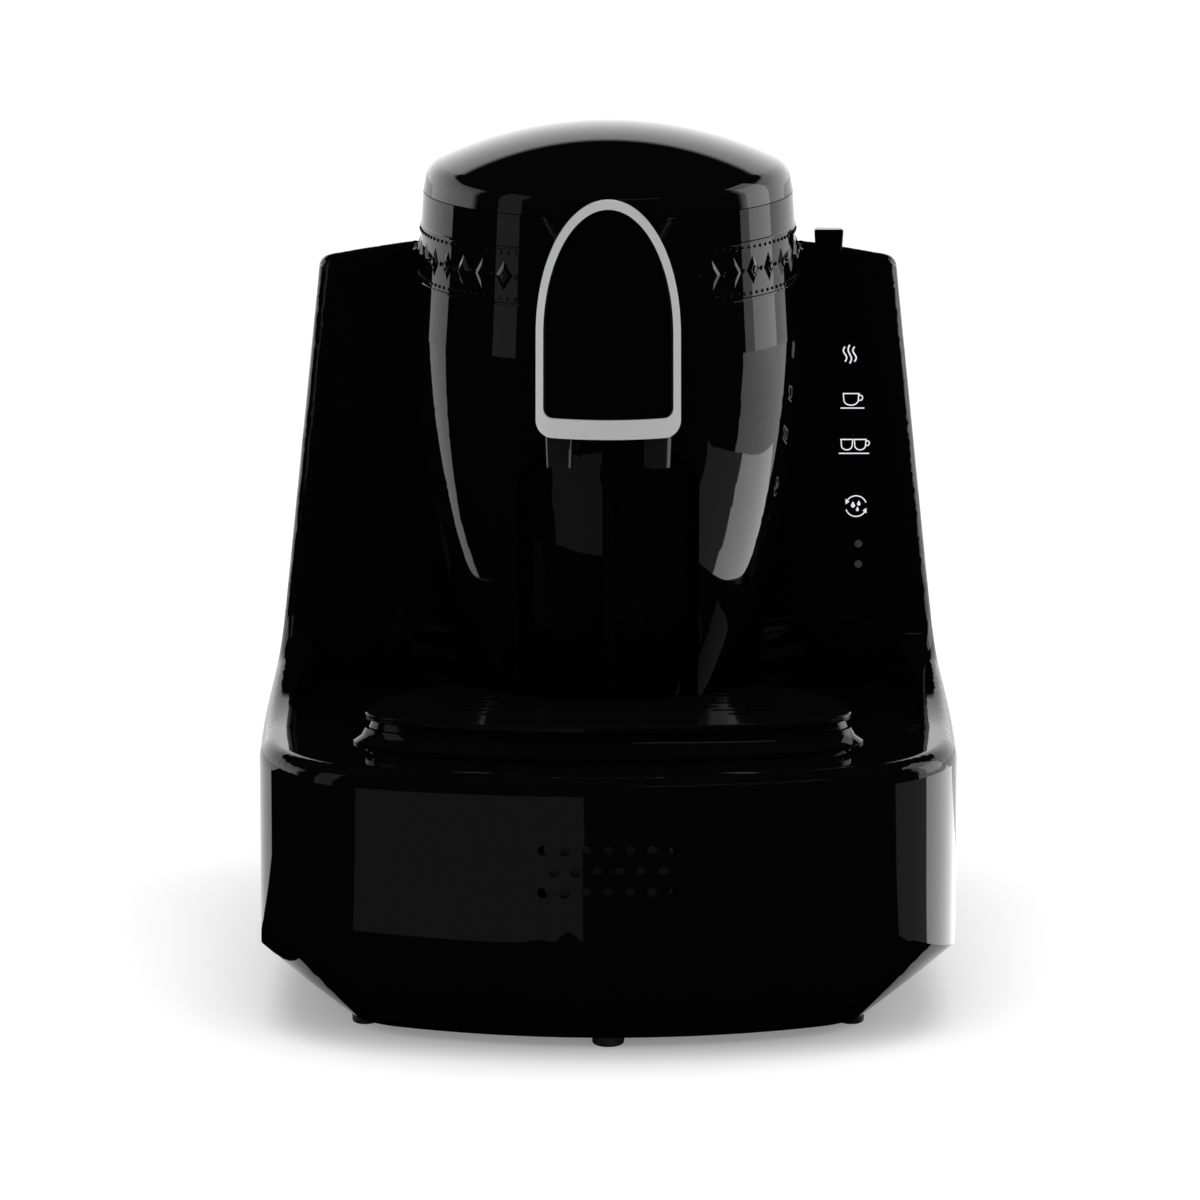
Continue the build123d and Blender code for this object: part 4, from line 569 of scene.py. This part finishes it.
# ---- foam sensor and water inlet ----------------------------------------
# Optical eye that watches the foam rise, and the inlet that the delivery hose ends in, both
# set in the collar's inner wall.
dress("foam_sensor", satin_black.material)
polished("water_inlet", inner_grey.material)

# ---- water tank ---------------------------------------------------------
# Smoke-tinted clear tank with an outlet valve in its floor and hinge pins for its gloss black
# cover. It drops into a white dock with a rubber seal.
smoke_clear = Finish("smoke_tinted_clear", (0.36, 0.37, 0.39), 0.04, ior=1.49)
smoke_clear.shader.inputs["Transmission Weight"].default_value = 0.92
smoke_clear.rough(smoke_clear.ramp(smoke_clear.noise(40.0, 3.0), 0.35, 0.75, 0.03, 0.09))
smoke_clear.mottled(12.0, 2.0, (0.34, 0.35, 0.37), (0.40, 0.41, 0.43))
smoke_clear.grained(160.0, 1.0, depth=4e-6)
polished("water_tank", smoke_clear.material)
inner_white = Finish("inner_white_moulding", (0.62, 0.62, 0.60), 0.42)
inner_white.mottled(60.0, 3.0, (0.58, 0.58, 0.56), (0.66, 0.66, 0.64))
inner_white.grained(1700.0, 2.0, depth=1e-5)
dress("tank_valve", inner_white.material)
dress("tank_hinge_pins", screw_steel.material)
dress("tank_dock", inner_white.material)
dress("tank_dock_seal", black_rubber.material)
cover_black = gloss_black("gloss_black_cover", rough=0.025)
polished("tank_cover", cover_black)
polished("cover_tab", cover_black)

# ---- drip tray and cup stand --------------------------------------------
# Flared gloss black ring tray that sits in the deck, and the pierced stand that lies in it
# under the cups, dulled by fine rings where cups have stood.
polished("drip_tray", gloss_black("tray_black", (0.0018, 0.0018, 0.002), rough=0.03))
stand_black = Finish("cup_stand_black", (0.0022, 0.0022, 0.0024), 0.12, ior=GLOSS_IOR)
wear = stand_black.noise(700.0, 3.0, stand_black.around())
stand_black.rough(stand_black.ramp(wear, 0.45, 0.75, 0.07, 0.2))
stand_black.bump(wear, 3e-6)
polished("cup_stand", stand_black.material)

# ---- touch symbols ------------------------------------------------------
# Lit symbols printed clear in the right wing's skin: steam for a slow brew, one cup, two
# cups, and clean. The two lenses below them stay unlit.
WING_Y = 0.0092               # front face of the rear housing
SYMBOL_FRONT = WING_Y - 0.00012
SYMBOL_BACK = WING_Y + 0.00015
SYMBOL_STROKE = 0.00042
MITRE_LIMIT = 0.6             # a bend's mitre is no longer than the half width over this
STEAM_X, STEAM_Z = 0.0868, 0.2206
STEAM_PITCH, STEAM_SWAY, STEAM_RISE = 0.0017, 0.00062, 0.0034
ONE_CUP_X, ONE_CUP_Z = 0.0874, 0.2042
TWO_CUPS_X, TWO_CUPS_Z = (0.0860, 0.0908), 0.1876
SAUCER_DROP = 0.0033          # from a cup's middle to the line it stands on
CLEAN_X, CLEAN_Z, CLEAN_RADIUS = 0.0895, 0.1649, 0.0038
ARROW_HALF, ARROW_TURN = 0.0009, 25       # head: half its width, its length in degrees of turn
lit_white = Finish("lit_symbol", (0.75, 0.76, 0.78), 0.35)
lit_white.shader.inputs["Emission Color"].default_value = (0.80, 0.84, 0.90, 1)
lit_white.shader.inputs["Emission Strength"].default_value = 0.45
lit_white.mottled(900.0, 2.0, (0.66, 0.67, 0.70), (0.80, 0.81, 0.83))


def arc(x, z, radius, start, end, tall=1.0, steps=14):
    """Points of an arc, in degrees from the right, anticlockwise."""
    return [(x + radius * math.cos(math.radians(start + (end - start) * i / steps)),
             z + radius * tall * math.sin(math.radians(start + (end - start) * i / steps)))
            for i in range(steps + 1)]


def stroke(form, points, width=SYMBOL_STROKE, closed=False):
    """One printed line of a symbol, mitred at its bends."""
    count, edges = len(points), []
    for i, (x, z) in enumerate(points):
        before = points[(i - 1) % count] if closed or i else (x, z)
        after = points[(i + 1) % count] if closed or i < count - 1 else (x, z)
        one = Vector((x - before[0], z - before[1])).normalized()
        two = Vector((after[0] - x, after[1] - z)).normalized()
        way = (one + two).normalized()
        side = Vector((-way.y, way.x)) * width / 2
        if one.length and two.length:
            side /= max(MITRE_LIMIT, way.dot(two))
        edges.append([form.verts.new((x + side.x * s, y, z + side.y * s))
                      for s in (1, -1) for y in (SYMBOL_FRONT, SYMBOL_BACK)])
    for i in range(count if closed else count - 1):
        a, b = edges[i], edges[(i + 1) % count]
        for quad in ((a[0], b[0], b[2], a[2]), (a[1], a[3], b[3], b[1]),
                     (a[0], a[1], b[1], b[0]), (a[2], b[2], b[3], a[3])):
            form.faces.new(quad)
    if not closed:
        for end in (edges[0], edges[-1]):
            form.faces.new((end[0], end[2], end[3], end[1]))


def patch(form, points):
    """One filled spot of a symbol."""
    front = [form.verts.new((x, SYMBOL_FRONT, z)) for x, z in points]
    back = [form.verts.new((x, SYMBOL_BACK, z)) for x, z in points]
    form.faces.new(front)
    form.faces.new(list(reversed(back)))
    for i in range(len(points)):
        k = (i + 1) % len(points)
        form.faces.new((front[i], back[i], back[k], front[k]))


def cup(form, x, z, wide, tall, handle):
    """Small cup in side view: a bowl closed at its rim and, where asked, a ring handle."""
    half, rim = wide / 2, z + tall / 2
    bowl = arc(x, z - tall * 0.08, half * 0.93, 190, 350, tall * 0.52 / half, 12)
    stroke(form, [(x - half, rim)] + bowl + [(x + half, rim)], closed=True)
    if handle:
        stroke(form, arc(x + half + tall * 0.10, z + tall * 0.12, tall * 0.24, -120, 120, 1.0, 10))


def steam(form):
    """Three wisps side by side, the middle one the tallest."""
    for shift in (-STEAM_PITCH, 0.0, STEAM_PITCH):
        rise = STEAM_RISE - abs(shift) * 0.4
        points = [(STEAM_X + shift + STEAM_SWAY * math.sin(i / 12 * 2 * math.pi),
                   STEAM_Z + rise * (i / 6 - 1)) for i in range(13)]
        stroke(form, points, SYMBOL_STROKE * 1.25)


def one_cup(form):
    """Cup over its saucer's line."""
    cup(form, ONE_CUP_X, ONE_CUP_Z, wide=0.0056, tall=0.0040, handle=True)
    saucer = ONE_CUP_Z - SAUCER_DROP
    stroke(form, [(0.0836, saucer), (0.0922, saucer)])


def two_cups(form):
    """Two smaller cups over one line; only the right one has a handle."""
    cup(form, TWO_CUPS_X[0], TWO_CUPS_Z, wide=0.0042, tall=0.0036, handle=False)
    cup(form, TWO_CUPS_X[1], TWO_CUPS_Z, wide=0.0042, tall=0.0036, handle=True)
    saucer = TWO_CUPS_Z - SAUCER_DROP
    stroke(form, [(0.0831, saucer), (0.0941, saucer)])


def clean(form):
    """Two arrows that chase each other round three drops."""
    for start in (20, 200):
        end = start + 125
        stroke(form, arc(CLEAN_X, CLEAN_Z, CLEAN_RADIUS, start, end))
        root_x, root_z = arc(CLEAN_X, CLEAN_Z, CLEAN_RADIUS, end, end + 1, steps=1)[0]
        out = Vector((root_x - CLEAN_X, root_z - CLEAN_Z)).normalized()
        tip = math.radians(end + ARROW_TURN)
        patch(form, [(root_x + out.x * ARROW_HALF, root_z + out.y * ARROW_HALF),
                     (CLEAN_X + CLEAN_RADIUS * math.cos(tip),
                      CLEAN_Z + CLEAN_RADIUS * math.sin(tip)),
                     (root_x - out.x * ARROW_HALF, root_z - out.y * ARROW_HALF)])
    for dx, dz, size in ((-0.0011, 0.0002, 0.00075), (0.0010, 0.0008, 0.00062),
                         (0.0005, -0.0013, 0.00055)):
        x, z = CLEAN_X + dx, CLEAN_Z + dz
        patch(form, list(reversed(arc(x, z, size, 150, 390, steps=12) + [(x, z + size * 2.1)])))


for name, draw in (("symbol_steam", steam), ("symbol_one_cup", one_cup),
                   ("symbol_two_cups", two_cups), ("symbol_clean", clean)):
    form = bmesh.new()
    draw(form)
    bmesh.ops.recalc_face_normals(form, faces=form.faces)
    mesh = bpy.data.meshes.new(name)
    form.to_mesh(mesh)
    form.free()
    mesh.materials.append(lit_white.material)
    piece = put(name, mesh)
    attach(piece, "housing")
dim_lens = Finish("unlit_lens", (0.06, 0.06, 0.065), 0.18)
dim_lens.mottled(500.0, 1.0, (0.045, 0.045, 0.05), (0.08, 0.08, 0.085))
dim_lens.grained(1500.0, 1.0, depth=2e-6)
dress("indicator_lenses", dim_lens.material)

# ---- studio -------------------------------------------------------------
# Pale floor, a white room low down behind the machine and darkness in front of it. A wide box
# lights it from above, three strips draw lights on the gloss, and cards on the floor lay painted
# reflections on it.
FLOOR_HALF = 6.0
FLOOR_GREY = 0.92
FLOOR_GLOW_NEAR, FLOOR_GLOW_FAR = 0.22, 0.46
ROOM_LIGHT = 0.62             # strength of the world as plain light on the machine
LOW_GLOW, HIGH_GLOW = 1.6, 1.0    # the white room's strength in the gloss, low down and high up
CARD_LIFT = 0.0008            # the grey and white cards lie this high, the black one half of it


def flat(name, corners, finish):
    """Flat sheet of the studio."""
    sheet = put(name, bpy.data.meshes.new(name))
    sheet.data.from_pydata(corners, [], [tuple(range(len(corners)))])
    finish.shader.inputs["Specular IOR Level"].default_value = 0.0
    finish.shader.inputs["Emission Color"].default_value = (1, 1, 1, 1)
    sheet.data.materials.append(finish.material)
    return sheet


floor = Finish("floor_surface", (FLOOR_GREY,) * 3, 0.5)
flat("floor", [(-FLOOR_HALF, -FLOOR_HALF, 0), (FLOOR_HALF, -FLOOR_HALF, 0),
               (FLOOR_HALF, FLOOR_HALF, 0), (-FLOOR_HALF, FLOOR_HALF, 0)], floor)
reach = floor.add("ShaderNodeVectorMath", operation="LENGTH")
floor.link(floor.place, reach.inputs[0])
glow = floor.ramp(reach.outputs["Value"], 0.3, 2.4, FLOOR_GLOW_NEAR, FLOOR_GLOW_FAR)
rays = floor.add("ShaderNodeLightPath")
mirrored = floor.maths("MAXIMUM", rays.outputs["Is Glossy Ray"],
                       rays.outputs["Is Transmission Ray"])
seen = floor.maths("MAXIMUM", rays.outputs["Is Camera Ray"], mirrored)
floor.link(floor.maths("MULTIPLY", glow, seen), floor.shader.inputs["Emission Strength"])

world = bpy.data.worlds.new("studio")
bpy.context.scene.world = world
world.use_nodes = True
room = world.node_tree
background = room.nodes["Background"]
rays = room.nodes.new("ShaderNodeLightPath")
heading = room.nodes.new("ShaderNodeSeparateXYZ")
room.links.new(room.nodes.new("ShaderNodeTexCoord").outputs["Generated"], heading.inputs[0])
behind = tree_ramp(room, heading.outputs["Y"], -0.02, 0.10, 0.0, 1.0, "SMOOTHSTEP")
below_ceiling = tree_ramp(room, heading.outputs["Z"], 0.47, 0.52, 1.0, 0.0, "SMOOTHSTEP")
fall_off = tree_ramp(room, heading.outputs["Z"], 0.12, 0.56, LOW_GLOW, HIGH_GLOW, "SMOOTHSTEP")
white_room = tree_maths(room, "MULTIPLY", behind,
                        tree_maths(room, "MULTIPLY", below_ceiling, fall_off))
mirrored = tree_maths(room, "MAXIMUM", rays.outputs["Is Glossy Ray"],
                      rays.outputs["Is Transmission Ray"])
seen = tree_maths(room, "MAXIMUM", rays.outputs["Is Camera Ray"],
                  tree_maths(room, "MULTIPLY", mirrored, white_room))
unseen = tree_maths(room, "SUBTRACT", 1.0,
                    tree_maths(room, "MAXIMUM", rays.outputs["Is Camera Ray"], mirrored))
strength = tree_maths(room, "ADD", seen, tree_maths(room, "MULTIPLY", unseen, ROOM_LIGHT))
background.inputs["Color"].default_value = (1, 1, 1, 1)
room.links.new(strength, background.inputs["Strength"])


def lamp(name, place, aim, wide, tall, power):
    """Soft box that faces its aim."""
    box = bpy.data.lights.new(name, "AREA")
    box.shape = "RECTANGLE"
    box.size, box.size_y, box.energy = wide, tall, power
    light = put(name, box)
    light.location = place
    light.rotation_euler = (Vector(place) - Vector(aim)).to_track_quat("Z", "Y").to_euler()
    light.visible_camera = False
    return light


overhead_box = lamp("overhead_box", (0.0, -0.35, 2.2), (0, 0, 0.1), wide=2.2, tall=1.6, power=26)
overhead_box.visible_glossy = False
lamp("front_edge_strip", (0.55, -1.5, 1.5), (0, 0, 0.2), wide=0.9, tall=0.16, power=0.12)
lamp("left_strip", (-1.20, -0.62, 0.60), (0, 0, 0.3), wide=0.40, tall=1.2, power=0.5)
lamp("right_strip", (1.24, 0.36, 0.60), (0, 0, 0.3), wide=0.55, tall=1.3, power=3.2)

# Cards that only gloss and clear plastic see, painted reflections in black, grey and white:
# height, glow and corners of each.
for name, height, glow, corners in (
        ("black_card", CARD_LIFT / 2, 0.0,
         ((-5.9, -5.9), (5.9, -5.9), (5.9, -0.09), (-0.125, -0.09), (-0.125, 0.03),
          (-0.30, 0.06), (-0.42, 0.16), (-5.9, 2.2))),
        ("grey_card_left", CARD_LIFT, 0.16,
         ((-0.015, -0.242), (-0.158, -0.206), (-0.353, -0.472), (-0.034, -0.572))),
        ("grey_card_right", CARD_LIFT, 0.30,
         ((0.13, -0.115), (0.55, -0.31), (0.60, -0.016), (0.15, -0.096))),
        ("white_card_right", CARD_LIFT, 3.0,
         ((0.150, -0.094), (0.60, -0.014), (0.60, 0.35), (0.135, 0.12)))):
    # Each card is a sheet hidden from the camera, from diffuse light and from shadows: it shows
    # only as a painted reflection, dark or glowing.
    paper = Finish(name + "_surface", (0, 0, 0), 0.9)
    paper.shader.inputs["Emission Strength"].default_value = glow
    paper.material.cycles.emission_sampling = "NONE"
    card = flat(name, [(x, y, height) for x, y in corners], paper)
    card.visible_camera = False
    card.visible_diffuse = False
    card.visible_shadow = False
